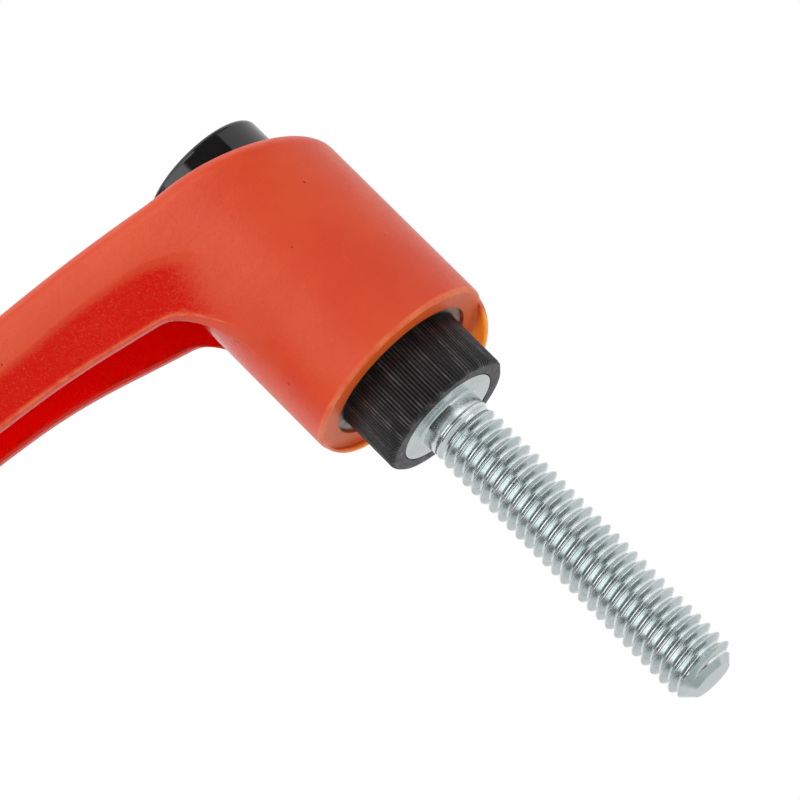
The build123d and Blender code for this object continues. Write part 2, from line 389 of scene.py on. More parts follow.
def build_grain() -> bpy.types.NodeTree:
    """Fine pebbled grain of a moulded surface: two noises, the finer one cut to small pits.

    Returns:
        The group's tree.
    """
    nodes = group_tree(Effect.GRAIN, {"Scale": 3000.0, "Pits": 0.4}, ["Height", "Pits"])
    start = nodes.make("NodeGroupInput").outputs
    coarse = nodes.noise(start["Vector"], start["Scale"], 4.0)
    fine = nodes.noise(start["Vector"], nodes.math("MULTIPLY", start["Scale"], 2.7), 2.0)
    dents = nodes.math("MULTIPLY", nodes.ramp(fine, 0.33, 0.42, 1.0, 0.0), start["Pits"])
    height = nodes.math("SUBTRACT", coarse, dents)
    nodes.make("NodeGroupOutput", {"Height": height, "Pits": dents})
    return nodes.tree


def build_mottle() -> bpy.types.NodeTree:
    """Slow uneven tone of a surface: a stretched noise for flow marks and a round one for clouds.

    Returns:
        The group's tree.
    """
    nodes = group_tree(Effect.MOTTLE, {"Scale": 90.0, "Stretch": 0.3}, ["Tone"])
    start = nodes.make("NodeGroupInput").outputs
    factors = nodes.make("ShaderNodeCombineXYZ", {0: start["Stretch"], 1: 1.0, 2: 1.0}).outputs[0]
    clouds = nodes.noise(start["Vector"], start["Scale"], 3.0)
    triple = nodes.math("MULTIPLY", start["Scale"], 3.0)
    flow = nodes.noise(nodes.stretch(start["Vector"], factors), triple, 4.0)
    tone = nodes.math("ADD", nodes.math("MULTIPLY", clouds, 0.6), nodes.math("MULTIPLY", flow, 0.4))
    nodes.make("NodeGroupOutput", {"Tone": nodes.ramp(tone, 0.32, 0.68)})
    return nodes.tree


def build_rings() -> bpy.types.NodeTree:
    """Fine turning marks: noise that varies with the radius and the height and hardly round the axis.

    Returns:
        The group's tree.
    """
    nodes = group_tree(Effect.RINGS, {"Scale": 9000.0}, ["Height"])
    start = nodes.make("NodeGroupInput").outputs
    parts = nodes.make("ShaderNodeSeparateXYZ", {0: start["Vector"]}).outputs
    square = nodes.math("ADD", nodes.math("POWER", parts[0], 2.0), nodes.math("POWER", parts[1], 2.0))
    radius = nodes.math("SQRT", square)
    slow = nodes.math("MULTIPLY", parts[0], 0.03)
    spot = nodes.make("ShaderNodeCombineXYZ", {0: radius, 1: slow, 2: parts[2]}).outputs[0]
    nodes.make("NodeGroupOutput", {"Height": nodes.noise(spot, start["Scale"], 2.0)})
    return nodes.tree


def build_scuffs() -> bpy.types.NodeTree:
    """Sparse short scuffs: a warped noise of which only the thin middle band is kept, in patches.

    Returns:
        The group's tree.
    """
    nodes = group_tree(Effect.SCUFFS, {"Scale": 400.0, "Amount": 0.5}, ["Mask"])
    start = nodes.make("NodeGroupInput").outputs
    lines = nodes.noise(start["Vector"], start["Scale"], 5.0, distortion=1.5)
    band = nodes.math("ABSOLUTE", nodes.math("SUBTRACT", lines, 0.5))
    thin = nodes.ramp(band, 0.0, 0.012, 1.0, 0.0)
    patches = nodes.noise(start["Vector"], nodes.math("MULTIPLY", start["Scale"], 0.3), 2.0)
    kept = nodes.ramp(patches, 0.56, 0.66)
    mask = nodes.math("MULTIPLY", nodes.math("MULTIPLY", thin, kept), start["Amount"])
    nodes.make("NodeGroupOutput", {"Mask": mask})
    return nodes.tree


BUILDERS = {
    Effect.GRAIN: build_grain,
    Effect.MOTTLE: build_mottle,
    Effect.RINGS: build_rings,
    Effect.SCUFFS: build_scuffs,
}


# ---- finishes ---------------------------------------------------------------------------------------

Colour = tuple[float, float, float, float]


def linear(red: int, green: int, blue: int) -> Colour:
    """Linear colour of an 8-bit sRGB one, by the sRGB curve.

    Args:
        red: from 0 to 255.
        green: in the same way.
        blue: in the same way.

    Returns:
        The linear red, green and blue, and 1 for the alpha.
    """
    share = np.array([red, green, blue]) / 255
    value = np.where(share <= 0.04045, share / 12.92, ((share + 0.055) / 1.055) ** 2.4)
    return (*value.tolist(), 1.0)


@dataclass(frozen=True)
class Finish:
    """A procedural material; each kind of finish fills in its colour, roughness and relief."""

    name: str

    def material(self) -> bpy.types.Material:
        """The material, built on first use.

        Returns:
            The material, with its Principled BSDF dressed.
        """
        known = bpy.data.materials.get(self.name)
        if known:
            return known
        material = bpy.data.materials.new(self.name)
        material.use_nodes = True
        material.node_tree.nodes.clear()
        nodes = Nodes(material.node_tree)
        where = nodes.make("ShaderNodeTexCoord").outputs["Object"]
        shader = nodes.make("ShaderNodeBsdfPrincipled")
        nodes.make("ShaderNodeOutputMaterial", {"Surface": shader.outputs[0]})
        self.dress(nodes, shader, where)
        return material

    def dress(self, nodes: Nodes, shader: bpy.types.Node, where: bpy.types.NodeSocket) -> None:
        """Sets the shader's sockets and links its patterns.

        Args:
            nodes: the material's nodes.
            shader: its Principled BSDF.
            where: the piece's own coordinates.
        """
        raise NotImplementedError

    @staticmethod
    def effect(nodes: Nodes, effect: Effect, where: object, **inputs: float) -> bpy.types.Node:
        """Places a shared node group with its own values.

        Args:
            nodes: the material's nodes.
            effect: which group.
            where: the piece's own coordinates.
            inputs: values of the group's float inputs.

        Returns:
            The group's node.
        """
        tree = bpy.data.node_groups.get(effect.value) or BUILDERS[effect]()
        node = nodes.make("ShaderNodeGroup", node_tree=tree)
        nodes.tree.links.new(where, node.inputs["Vector"])
        for name, value in inputs.items():
            node.inputs[name].default_value = value
        return node

    @staticmethod
    def mark(nodes: Nodes, label: str) -> bpy.types.NodeSocket:
        """Value of a mark that the mesh carries."""
        return nodes.make("ShaderNodeAttribute", attribute_name=label).outputs["Fac"]

    @staticmethod
    def relief(nodes: Nodes, shader: bpy.types.Node, height: object, depth: float, strength: float) -> None:
        """Feeds a height to the shader's normal through a Bump node.

        Args:
            nodes: the material's nodes.
            shader: its Principled BSDF.
            height: the relief, about 0 to 1.
            depth: metres that a height of 1 stands for.
            strength: share of the relief that shows.
        """
        bump = nodes.make("ShaderNodeBump", {"Strength": strength, "Distance": depth, "Height": height})
        nodes.tree.links.new(bump.outputs[0], shader.inputs["Normal"])


@dataclass(frozen=True)
class MouldedPlastic(Finish):
    """Pigmented, glass-filled plastic: satin, finely grained and a little cloudy, with painted light in its
    colour: painted highlight lines along some edges, a painted glow on thin walls, and painted shade under
    the widest line and in the channel.
    """

    tone: Colour = linear(218, 54, 14)
    cloud: Colour = linear(224, 70, 26)
    # Painted shade: a darker, purer red for the surfaces under the widest line, where little light is
    # reflected.
    deep: Colour = linear(216, 16, 0)
    # Painted glow and shade for the channel: a brighter, purer red, as if light came through the flanges.
    inside: Colour = linear(250, 8, 0)
    # Paler edge colour: flash and wear on edges, and painted highlight lines along them; the scuffs use it
    # too.
    edge: Colour = linear(236, 122, 76)
    # Painted light where walls are thin: a paler colour and an emitted glow, as if light came through.
    thin: Colour = linear(255, 168, 70)
    glow: Colour = (0.3, 0.07, 0.0, 1.0)
    fleck: Colour = linear(150, 22, 8)
    pit_share: float = 0.3
    satin: tuple[float, float] = (0.34, 0.46)
    deep_gloss: float = 0.2
    highlight: Colour = (1.0, 0.97, 0.72, 1.0)
    scatter_share: float = 0.4
    scatter_reach: tuple[float, float, float] = (1.0, 0.25, 0.06)
    scatter_depth: float = 1.4 * MM
    grain_depth: float = 0.045 * MM

    def pigment(self, nodes: Nodes, where: bpy.types.NodeSocket, pits: object, deep: object,
                thin: object) -> bpy.types.NodeSocket:
        """Base colour: a clouded pigment with pits and specks, then painted light and shade on the marked
        surfaces, then the scuffs.

        Args:
            nodes: the material's nodes.
            where: the piece's own coordinates.
            pits: the grain's pits.
            deep: the mark of the painted shade, which goes on to 2 for the channel's painted glow.
            thin: the mark of the painted glow on thin walls.

        Returns:
            The colour.
        """
        tone = self.effect(nodes, Effect.MOTTLE, where, Scale=110.0, Stretch=0.4).outputs["Tone"]
        colour = nodes.blend(tone, self.tone, self.cloud)
        colour = nodes.blend(nodes.math("MULTIPLY", pits, self.pit_share), colour, self.fleck)
        speck = nodes.ramp(nodes.noise(where, 2100.0, 0.0), 0.875, 0.9)
        colour = nodes.blend(speck, colour, self.fleck)
        # Painted shade where the deep mark is set, and past 1 the channel's painted glow.
        colour = nodes.blend(nodes.math("MINIMUM", deep, 1.0), colour, self.deep)
        channel_glow_share = nodes.math("MAXIMUM", nodes.math("SUBTRACT", deep, 1.0), 0.0)
        colour = nodes.blend(channel_glow_share, colour, self.inside)
        # Paler edges: flash and wear, and a painted highlight line along them.
        speckle = nodes.ramp(nodes.noise(where, 700.0, 3.0, 0.6), 0.3, 0.62, 0.35, 1.0)
        flash_and_highlight = nodes.math("MULTIPLY", self.mark(nodes, "edge"), speckle)
        colour = nodes.blend(flash_and_highlight, colour, self.edge)
        # Painted glow on thin walls.
        colour = nodes.blend(thin, colour, self.thin)
        scuff = self.effect(nodes, Effect.SCUFFS, where, Scale=520.0, Amount=0.12).outputs["Mask"]
        return nodes.blend(scuff, colour, self.edge)

    def dress(self, nodes: Nodes, shader: bpy.types.Node, where: bpy.types.NodeSocket) -> None:
        """Colours and grains the surface, smooths it where it is deep, and paints a glow with an emission on
        thin walls.

        Args:
            nodes: the material's nodes.
            shader: its Principled BSDF.
            where: the piece's own coordinates.
        """
        deep = self.mark(nodes, "deep")
        thin = self.mark(nodes, "thin")
        grain = self.effect(nodes, Effect.GRAIN, where, Scale=2600.0, Pits=0.35).outputs
        colour = self.pigment(nodes, where, grain["Pits"], deep, thin)
        nodes.tree.links.new(colour, shader.inputs["Base Color"])
        # Painted glow: thin walls emit a little red light.
        through = nodes.blend(thin, (0.0, 0.0, 0.0, 1.0), self.glow)
        nodes.tree.links.new(through, shader.inputs["Emission Color"])
        shader.inputs["Emission Strength"].default_value = 1.0
        rough = nodes.ramp(grain["Height"], 0.2, 0.8, *self.satin)
        gloss = nodes.math("MULTIPLY", nodes.math("MINIMUM", deep, 1.0), self.deep_gloss)
        nodes.tree.links.new(nodes.math("SUBTRACT", rough, gloss), shader.inputs["Roughness"])
        shader.inputs["IOR"].default_value = 1.55
        shader.inputs["Specular Tint"].default_value = self.highlight
        shader.inputs["Subsurface Weight"].default_value = self.scatter_share
        shader.inputs["Subsurface Radius"].default_value = self.scatter_reach
        shader.inputs["Subsurface Scale"].default_value = self.scatter_depth
        self.relief(nodes, shader, grain["Height"], self.grain_depth, 0.6)


@dataclass(frozen=True)
class GlossPlastic(Finish):
    """Smooth dark plastic with a faint cloudiness in its gloss and a few fine scuffs."""

    tone: Colour = linear(26, 26, 27)
    worn: Colour = linear(52, 52, 54)

    def dress(self, nodes: Nodes, shader: bpy.types.Node, where: bpy.types.NodeSocket) -> None:
        """Varies the gloss slowly and lightens the scuffs.

        Args:
            nodes: the material's nodes.
            shader: its Principled BSDF.
            where: the piece's own coordinates.
        """
        tone = self.effect(nodes, Effect.MOTTLE, where, Scale=240.0, Stretch=1.0).outputs["Tone"]
        scuff = self.effect(nodes, Effect.SCUFFS, where, Scale=700.0, Amount=0.5).outputs["Mask"]
        nodes.tree.links.new(nodes.blend(scuff, self.tone, self.worn), shader.inputs["Base Color"])
        rough = nodes.math("ADD", nodes.ramp(tone, 0.0, 1.0, 0.07, 0.12), nodes.math("MULTIPLY", scuff, 0.3))
        nodes.tree.links.new(rough, shader.inputs["Roughness"])
        shader.inputs["IOR"].default_value = 1.5
        grain = self.effect(nodes, Effect.GRAIN, where, Scale=1500.0, Pits=0.0)
        self.relief(nodes, shader, grain.outputs["Height"], 0.01 * MM, 0.25)


@dataclass(frozen=True)
class Metal(Finish):
    """A metal surface: a mottled tone, turning marks, and grain in the roughness."""

    tone: Colour = linear(220, 227, 227)
    shade: Colour = linear(205, 214, 215)
    low: float = 0.18
    high: float = 0.3
    rings: float = 0.0008 * MM
    cast: float = 0.0

    def dress(self, nodes: Nodes, shader: bpy.types.Node, where: bpy.types.NodeSocket) -> None:
        """Mottles the tone and adds turning marks or, on a casting, grain.

        Args:
            nodes: the material's nodes.
            shader: its Principled BSDF.
            where: the piece's own coordinates.
        """
        tone = self.effect(nodes, Effect.MOTTLE, where, Scale=420.0, Stretch=1.0).outputs["Tone"]
        nodes.tree.links.new(nodes.blend(tone, self.tone, self.shade), shader.inputs["Base Color"])
        grain = self.effect(nodes, Effect.GRAIN, where, Scale=3600.0, Pits=0.3)
        rough = nodes.ramp(grain.outputs["Height"], 0.25, 0.75, self.low, self.high)
        nodes.tree.links.new(rough, shader.inputs["Roughness"])
        shader.inputs["Metallic"].default_value = 1.0
        lines = self.effect(nodes, Effect.RINGS, where, Scale=9000.0).outputs["Height"]
        turned = nodes.math("MULTIPLY", lines, self.rings / MM)
        rough_cast = nodes.math("MULTIPLY", grain.outputs["Height"], self.cast / MM)
        self.relief(nodes, shader, nodes.math("ADD", turned, rough_cast), MM, 1.0)


@dataclass(frozen=True)
class BlackOxide(Finish):
    """Blackened steel: dark, a little brown, with paler worn crests, a painted sheen on its end face and a
    broken sheen.
    """

    tone: Colour = linear(30, 28, 29)
    # Pale tone of the worn crests, also painted on the end face as a sheen.
    worn: Colour = linear(112, 106, 106)

    def dress(self, nodes: Nodes, shader: bpy.types.Node, where: bpy.types.NodeSocket) -> None:
        """Lightens the marked places through noises, as wear on the crests and as a painted sheen on the end
        face, and roughens the rest.

        Args:
            nodes: the material's nodes.
            shader: its Principled BSDF.
            where: the piece's own coordinates.
        """
        drawn = nodes.stretch(where, (1.0, 1.0, 0.12))
        streak = nodes.ramp(nodes.noise(drawn, 1500.0, 3.0, 0.6), 0.36, 0.64)
        patch = nodes.ramp(nodes.noise(where, 900.0, 4.0, 0.65), 0.38, 0.66, 0.25, 1.0)
        wear_and_sheen = nodes.math("MULTIPLY", nodes.math("MULTIPLY", self.mark(nodes, "edge"), patch), streak)
        nodes.tree.links.new(nodes.blend(wear_and_sheen, self.tone, self.worn), shader.inputs["Base Color"])
        grain = self.effect(nodes, Effect.GRAIN, where, Scale=3000.0, Pits=0.4)
        rough = nodes.ramp(grain.outputs["Height"], 0.25, 0.75, 0.34, 0.5)
        nodes.tree.links.new(rough, shader.inputs["Roughness"])
        shader.inputs["Metallic"].default_value = 0.35
        self.relief(nodes, shader, grain.outputs["Height"], 0.012 * MM, 0.6)


ORANGE = MouldedPlastic("orange_moulding")
BLACK = GlossPlastic("black_button_plastic")
PLATED = Metal("bright_zinc_plating")
CAST_ZINC = Metal("die_cast_zinc", linear(168, 160, 155), linear(128, 120, 116), 0.38, 0.55,
                  rings=0.001 * MM, cast=0.012 * MM)
SCREW_STEEL = Metal("screw_steel", linear(150, 150, 152), linear(120, 120, 124), 0.28, 0.42, 0.003 * MM)
SPRING_WIRE = Metal("drawn_spring_wire", linear(172, 174, 178), linear(140, 142, 148), 0.18, 0.3, 0.001 * MM)
SEAT_STEEL = Metal("stamped_seat_steel", linear(176, 177, 180), linear(150, 151, 155), 0.3, 0.44, 0.002 * MM)
BLACKENED = BlackOxide("black_oxide")


# ---- moulded lever ----------------------------------------------------------------------------------

@dataclass(frozen=True)
class Plan:
    """Plan of the lever: a hub circle and an arm of two tapers, with every corner blended.

    The first taper touches a circle about the axis and one at the waist, the second touches the waist's and
    the rounded end's. Drawing the plan in by an inset takes it off all three radii and leaves the hub as it
    is.
    """

    hub: float
    root: float
    waist: float = 4.4 * MM
    waist_x: float = 23 * MM
    tip: float = 4.9 * MM
    tip_x: float = 58.6 * MM
    hub_blend: float = 7 * MM
    waist_blend: float = 60 * MM
    spans: tuple[int, ...] = (72, 12, 44, 18, 52, 32)

    @property
    def ends(self) -> Array:
        """Station number where each stretch begins, and the last station."""
        return np.concatenate([[0], np.cumsum(self.spans)])

    def tapers(self) -> tuple[float, float]:
        """Angles, in radians, at which the arm narrows to its waist and widens past it.

        Returns:
            The two angles.
        """
        narrowing = math.asin((self.root - self.waist) / self.waist_x)
        widening = math.asin((self.tip - self.waist) / (self.tip_x - self.waist_x))
        return narrowing, widening

    def hub_tangent(self, inset: Array) -> Array:
        """Angle about the axis at which the hub's circle passes into its blend with the arm.

        Args:
            inset: how far the plan is drawn in there.

        Returns:
            The angle, in radians from +X.
        """
        narrowing, _ = self.tapers()
        share = (self.root - inset + self.hub_blend) / (self.hub + self.hub_blend)
        return math.pi / 2 - narrowing - np.arccos(share)

    def rim(self, inset: Array) -> tuple[Array, Array]:
        """Half of the outline, for y of 0 or more, from the hub's back to the arm's end.

        Args:
            inset: how far each station is drawn in, shaped (..., stations).

        Returns:
            The plan points and their inward unit normals, shaped (..., stations, 2).
        """
        narrowing, widening = self.tapers()
        ends = self.ends
        point = np.zeros((*inset.shape, 2))
        inward = np.zeros_like(point)
        across_1 = np.array([math.sin(narrowing), math.cos(narrowing)])
        along_1 = np.array([math.cos(narrowing), -math.sin(narrowing)])
        across_2 = np.array([-math.sin(widening), math.cos(widening)])
        along_2 = np.array([math.cos(widening), math.sin(widening)])

        def stretch(number: int) -> tuple[slice, Array, Array]:
            """Columns of a stretch, the share along it and the insets there.

            Args:
                number: the stretch's number.

            Returns:
                The columns, the shares from 0 to 1 and the insets.
            """
            last = number == len(self.spans) - 1
            columns = slice(ends[number], ends[number + 1] + last)
            share = np.linspace(0, 1, self.spans[number] + 1)[: None if last else -1]
            return columns, share, inset[..., columns]

        def arc(columns: slice, centre: Array, radius: Array, angle: Array, outside: bool) -> None:
            """Fills a stretch with an arc.

            Args:
                columns: the stretch's columns.
                centre: the arc's centre.
                radius: its radius.
                angle: angles about the centre.
                outside: whether the centre lies outside the plan.
            """
            direction = on_circle(np.ones_like(angle), angle)
            point[..., columns, :] = centre + np.asarray(radius)[..., None] * direction
            inward[..., columns, :] = direction if outside else -direction

        def bend(draw: Array) -> tuple[Array, Array]:
            """Start of the waist's arc on the first taper and its end on the second.

            Args:
                draw: how far the plan is drawn in there.

            Returns:
                The two plan points.
            """
            fall, rise = math.tan(narrowing), math.tan(widening)
            first = (self.root - draw) / math.cos(narrowing)
            second = (self.waist - draw) / math.cos(widening) - rise * self.waist_x
            x = (first - second) / (fall + rise)
            corner = np.stack([x, first - fall * x], axis=-1)
            reach = self.waist_blend * math.tan((narrowing + widening) / 2)
            return corner - reach * along_1, corner + reach * along_2

        def blend_centre(draw: Array) -> Array:
            """Centre of the arc between the hub and the first taper."""
            return on_circle(self.hub + self.hub_blend, self.hub_tangent(draw))

        columns, share, draw = stretch(0)
        angle = mix(np.full_like(draw, math.pi), self.hub_tangent(draw), share)
        arc(columns, np.zeros(2), np.full_like(draw, self.hub), angle, outside=False)

        columns, share, draw = stretch(1)
        first_angle = self.hub_tangent(draw) + math.pi
        angle = mix(first_angle, 1.5 * math.pi - narrowing, share)
        arc(columns, blend_centre(draw), np.full_like(draw, self.hub_blend), angle, outside=True)

        columns, share, draw = stretch(2)
        begin = blend_centre(draw) - self.hub_blend * across_1
        point[..., columns, :] = mix(begin, bend(draw)[0], share[:, None])
        inward[..., columns, :] = -across_1

        columns, share, draw = stretch(3)
        angle = mix(1.5 * math.pi - narrowing, 1.5 * math.pi + widening, share) + np.zeros_like(draw)
        centre = bend(draw)[0] + self.waist_blend * across_1
        arc(columns, centre, np.full_like(draw, self.waist_blend), angle, outside=True)

        columns, share, draw = stretch(4)
        radius = (self.tip - draw)[..., None]
        finish = np.array([self.tip_x, 0.0]) + radius * across_2
        point[..., columns, :] = mix(bend(draw)[1], finish, share[:, None])
        inward[..., columns, :] = -across_2

        columns, share, draw = stretch(5)
        angle = mix(math.pi / 2 + widening, 0.0, share) + np.zeros_like(draw)
        arc(columns, np.array([self.tip_x, 0.0]), self.tip - draw, angle, outside=False)
        return point, inward


@dataclass
class MouldedLever:
    """The orange moulding: crowned top, drafted sides, hollow underside, hub, foot and one-sided skirt."""

    levels: Levels
    hub_top_drop: float = 2.15 * MM
    slope: float = math.radians(8.4)
    top_arc: float = 155 * MM
    top_arc_end: float = 19.6 * MM
    root_inset: float = 0.75 * MM
    parting: float = 4.0 * MM
    bulge: float = 0.3 * MM
    bulge_fade: tuple[float, float] = (54 * MM, 62 * MM)
    parting_bend: float = 11.4 * MM * MM
    parting_end: float = 2.6 * MM
    parting_shift: float = 0.95 * MM
    # Painted shade under the widest line: where it comes in below the line, and where it fades out by the
    # hub.
    shade_band_fade: tuple[float, float] = (0.0, 0.9 * MM)
    shade_band_end: tuple[float, float] = (0.0, 1.7 * MM)
    crown: float = 1.6 * MM
    root_slope: float = math.radians(16.7)
    underside: float = 7.6 * MM
    underside_bend: float = 20 * MM
    underside_blend: float = 4.35 * MM
    fill_reach: float = 3.2 * MM
    fill_height: float = 8 * MM
    side_inset: float = 0.506 * MM
    root_side_inset: float = 0.8 * MM
    root_side_fade: tuple[float, float] = (6 * MM, 16 * MM)
    flange: float = 1.25 * MM
    # Fades of the painted shade on the flanges' lower faces and on the hub's front in the channel.
    flange_shade_fade: tuple[float, float] = (0.4 * MM, 3 * MM)
    front_shade_fade: tuple[float, float] = (0.8 * MM, 5.5 * MM)
    roof: float = 1.3 * MM
    roof_round: float = 1.0 * MM
    edge_round: float = 0.45 * MM
    edge_fade: tuple[float, float] = (0.1 * MM, 1.6 * MM)
    edge_spans: int = 4
    # Painted highlight and flash along the flanges' rounded lower edges, one value for each row.
    edge_flash_and_highlight: tuple[float, ...] = (0.0, 0.3, 0.9, 0.5, 0.0)
    inner_edge_round: float = 0.3 * MM
    bore_round: float = 0.18 * MM
    mouth_mark: float = 0.5
    # Mark of the channel: painted shade and, past 1, a painted red glow.
    channel_shade_and_glow: float = 2.0
    wall_spans: int = 12
    ring_recess: float = 0.3 * MM
    ring_lead: float = 0.1 * MM
    foot_round: float = 0.35 * MM
    # Painted light: a little on the foot's face and, fading in below it, fully on the skirt's inner wall.
    foot_painted_light: float = 0.13
    skirt_glow_fade: tuple[float, float] = (0.1 * MM, 0.9 * MM)
    skirt_wall: float = 0.5 * MM
    skirt_drop: float = 2.1 * MM
    skirt_angle: float = math.radians(250)
    skirt_sweep: float = math.radians(116)
    skirt_blend: float = 0.9 * MM
    skirt_power: float = 0.9
    skirt_join: int = 4
    skirt_start: float = 0.5 * MM
    tail_drop: float = 0.6 * MM
    tail_angle: float = math.radians(318)
    tail_sweep: float = math.radians(68)
    web_hole: float = 2.97 * MM
    bore_gap: float = 0.16 * MM
    spine_fade: float = 9 * MM
    crown_row: int = 5
    crown_mark: float = 0.3
    crown_mark_fade: tuple[float, float] = (4 * MM, 9 * MM)
    rim_row: int = 5
    # Painted highlight and flash along the foot's rim, one value for each row.
    rim_flash_and_highlight: tuple[float, ...] = (0.4, 0.7, 0.9, 1.0, 1.0, 0.9, 0.8, 0.5, 0.3)
    corner_spans: int = 5
    front_spans: int = 12

    def __post_init__(self) -> None:
        """Works out the plan, the stations that patches share, and the levels that follow."""
        self.plan = Plan(self.levels.hub_radius, self.levels.hub_radius - self.root_inset)
        self.bore = self.levels.button_radius + self.bore_gap
        self.foot = self.levels.ring_base - self.ring_recess
        self.hub_top = self.levels.button_top - self.hub_top_drop
        ends = self.plan.ends
        self.stations = int(ends[-1]) + 1
        self.tangent = int(ends[1])
        self.corner = int(ends[2]) + self.corner_spans
        self.front = self.corner + self.front_spans
        self.rim_xy, self.inward = self.plan.rim(np.zeros(self.stations))

    # -- heights ---------------------------------------------------------------------------------------

    def straight_top(self, x: Array) -> Array:
        """Height of the straight top, carried on in both directions.

        Args:
            x: distance along the arm from the axis.

        Returns:
            The height at each x.
        """
        centre_x = self.top_arc_end + self.top_arc * math.sin(self.slope)
        centre_z = self.hub_top - math.sqrt(self.top_arc ** 2 - centre_x ** 2)
        return centre_z + self.top_arc * math.cos(self.slope) + (x - self.top_arc_end) * math.tan(self.slope)

    def top(self, x: Array) -> Array:
        """Height of the top line: a circular arc over the hub that passes into the straight top.

        Args:
            x: distance along the arm from the axis.

        Returns:
            The height at each x.
        """
        centre_x = self.top_arc_end + self.top_arc * math.sin(self.slope)
        centre_z = self.hub_top - math.sqrt(self.top_arc ** 2 - centre_x ** 2)
        arc = centre_z + np.sqrt(self.top_arc ** 2 - (np.minimum(x, self.top_arc_end) - centre_x) ** 2)
        return np.where(x < self.top_arc_end, arc, self.straight_top(x))

    def below_top(self, x: Array, depth: Array | float) -> Array:
        """Height of the plane parallel to the straight top, that far below it."""
        return self.straight_top(x) - depth / math.cos(self.slope)

    def widest_line(self, x: Array) -> Array:
        """Height of the widest line: parallel to the top, and down a hyperbola beside the hub."""
        bend = self.parting_bend / np.maximum(x - self.parting_end, MM) - self.parting_shift
        return self.below_top(x, self.parting) - np.maximum(bend, 0)

    def flange_line(self, x: Array) -> Array:
        """Height of the flanges' lower edges: a steeper line, a parabola, and a line parallel to the top.

        Args:
            x: distance along the arm from the axis.

        Returns:
            The height at each x.
        """
        root, far = math.tan(self.root_slope), math.tan(self.slope)
        begin = self.underside_bend - self.underside_blend
        bent = np.clip(x - begin, 0, 2 * self.underside_blend)
        past = np.maximum(x - begin - 2 * self.underside_blend, 0)
        level = self.straight_top(np.float64(self.underside_bend)) - self.underside
        eased = bent ** 2 / (4 * self.underside_blend) + past
        return level + root * (x - self.underside_bend) + (far - root) * eased

    def underside_at(self, plan: Array) -> Array:
        """Height of the flanges' lower faces, which fall to the hub's wall by a quarter ellipse.

        Args:
            plan: plan points of the faces.

        Returns:
            The height at each point.
        """
        off_wall = np.linalg.norm(plan, axis=-1) - self.plan.hub
        share = 1 - np.clip(off_wall / self.fill_reach, 0, 1)
        return self.flange_line(plan[..., 0]) - self.fill_height * (1 - np.sqrt(1 - share ** 2))

    # -- patches ---------------------------------------------------------------------------------------

    def canopy(self, rim: Array, inward: Array, reach: Array, rise: Array, level: Height, circle: float,
               turn: int, rows: int = 14, flat_rows: int = 4) -> Array:
        """A surface that rises from a rim by a quarter ellipse and runs on level to the spine.

        The spine is a circle about the axis as far as the inward normals meet it, and then the plane of
        symmetry. The ellipse is cut short where it meets the circle first.

        Args:
            rim: plan points of the rim.
            inward: their inward normals.
            reach: the ellipse's plan half-axis at each station.
            rise: its upright half-axis.
            level: height of the surface's level part at x.
            circle: the circle's radius.
            turn: station whose spine point is where the circle meets the plane of symmetry.
            rows: spans over the ellipse.
            flat_rows: spans from there to the spine.

        Returns:
            The grid, from the rim to the spine.
        """
        along = -np.einsum("ij,ij->i", rim, inward)
        room = along ** 2 - np.einsum("ij,ij->i", rim, rim) + circle ** 2
        hit = np.where((room >= 0) & (along > 0), along - np.sqrt(np.maximum(room, 0)), np.inf)
        hit = np.maximum(hit, 0)
        meets = np.isfinite(hit) & (rim[:, 1] + np.where(np.isfinite(hit), hit, 0) * inward[:, 1] >= 0)
        last_hit = int(np.argmin(meets)) - 1
        end = np.minimum(reach, hit)
        angle = np.linspace(0, 1, rows + 1)[:, None] * np.arccos(1 - end / reach)
        plan = rim + (reach * (1 - np.cos(angle)))[..., None] * inward
        drop = rise * (1 - np.sin(angle))
        curved = in_space(plan, level(plan[..., 0]) - drop)

        spine = rim + np.where(meets, hit, 0)[:, None] * inward
        start_angle = math.atan2(spine[last_hit, 1], spine[last_hit, 0])
        front = np.arange(last_hit + 1, turn + 1)
        spine[front] = on_circle(circle, start_angle * (turn - front) / (turn - last_hit))
        after = np.arange(turn + 1, len(rim))
        corner_x = rim[turn, 0]
        lag = (corner_x - circle) * (1 - smooth(rim[after, 0], corner_x, corner_x + self.spine_fade))
        spine[after, 0] = np.minimum(rim[after, 0] - lag, self.plan.tip_x)
        spine[after, 1] = 0
        plan = mix(plan[-1], spine, np.linspace(0, 1, flat_rows + 1)[1:, None, None])
        flat = in_space(plan, level(plan[..., 0]) - drop[-1])
        return np.concatenate([curved, flat])

    def crowned_top(self) -> Array:
        """Grid of the top, from its crowned edge to the bore and the plane of symmetry.

        Returns:
            The grid, whose first row is the top's widest.
        """
        size = np.full(self.stations, self.crown)
        lip = self.bore + self.bore_round
        return self.canopy(self.rim_xy, self.inward, size, size, self.top, lip, self.front, rows=12,
                           flat_rows=8)

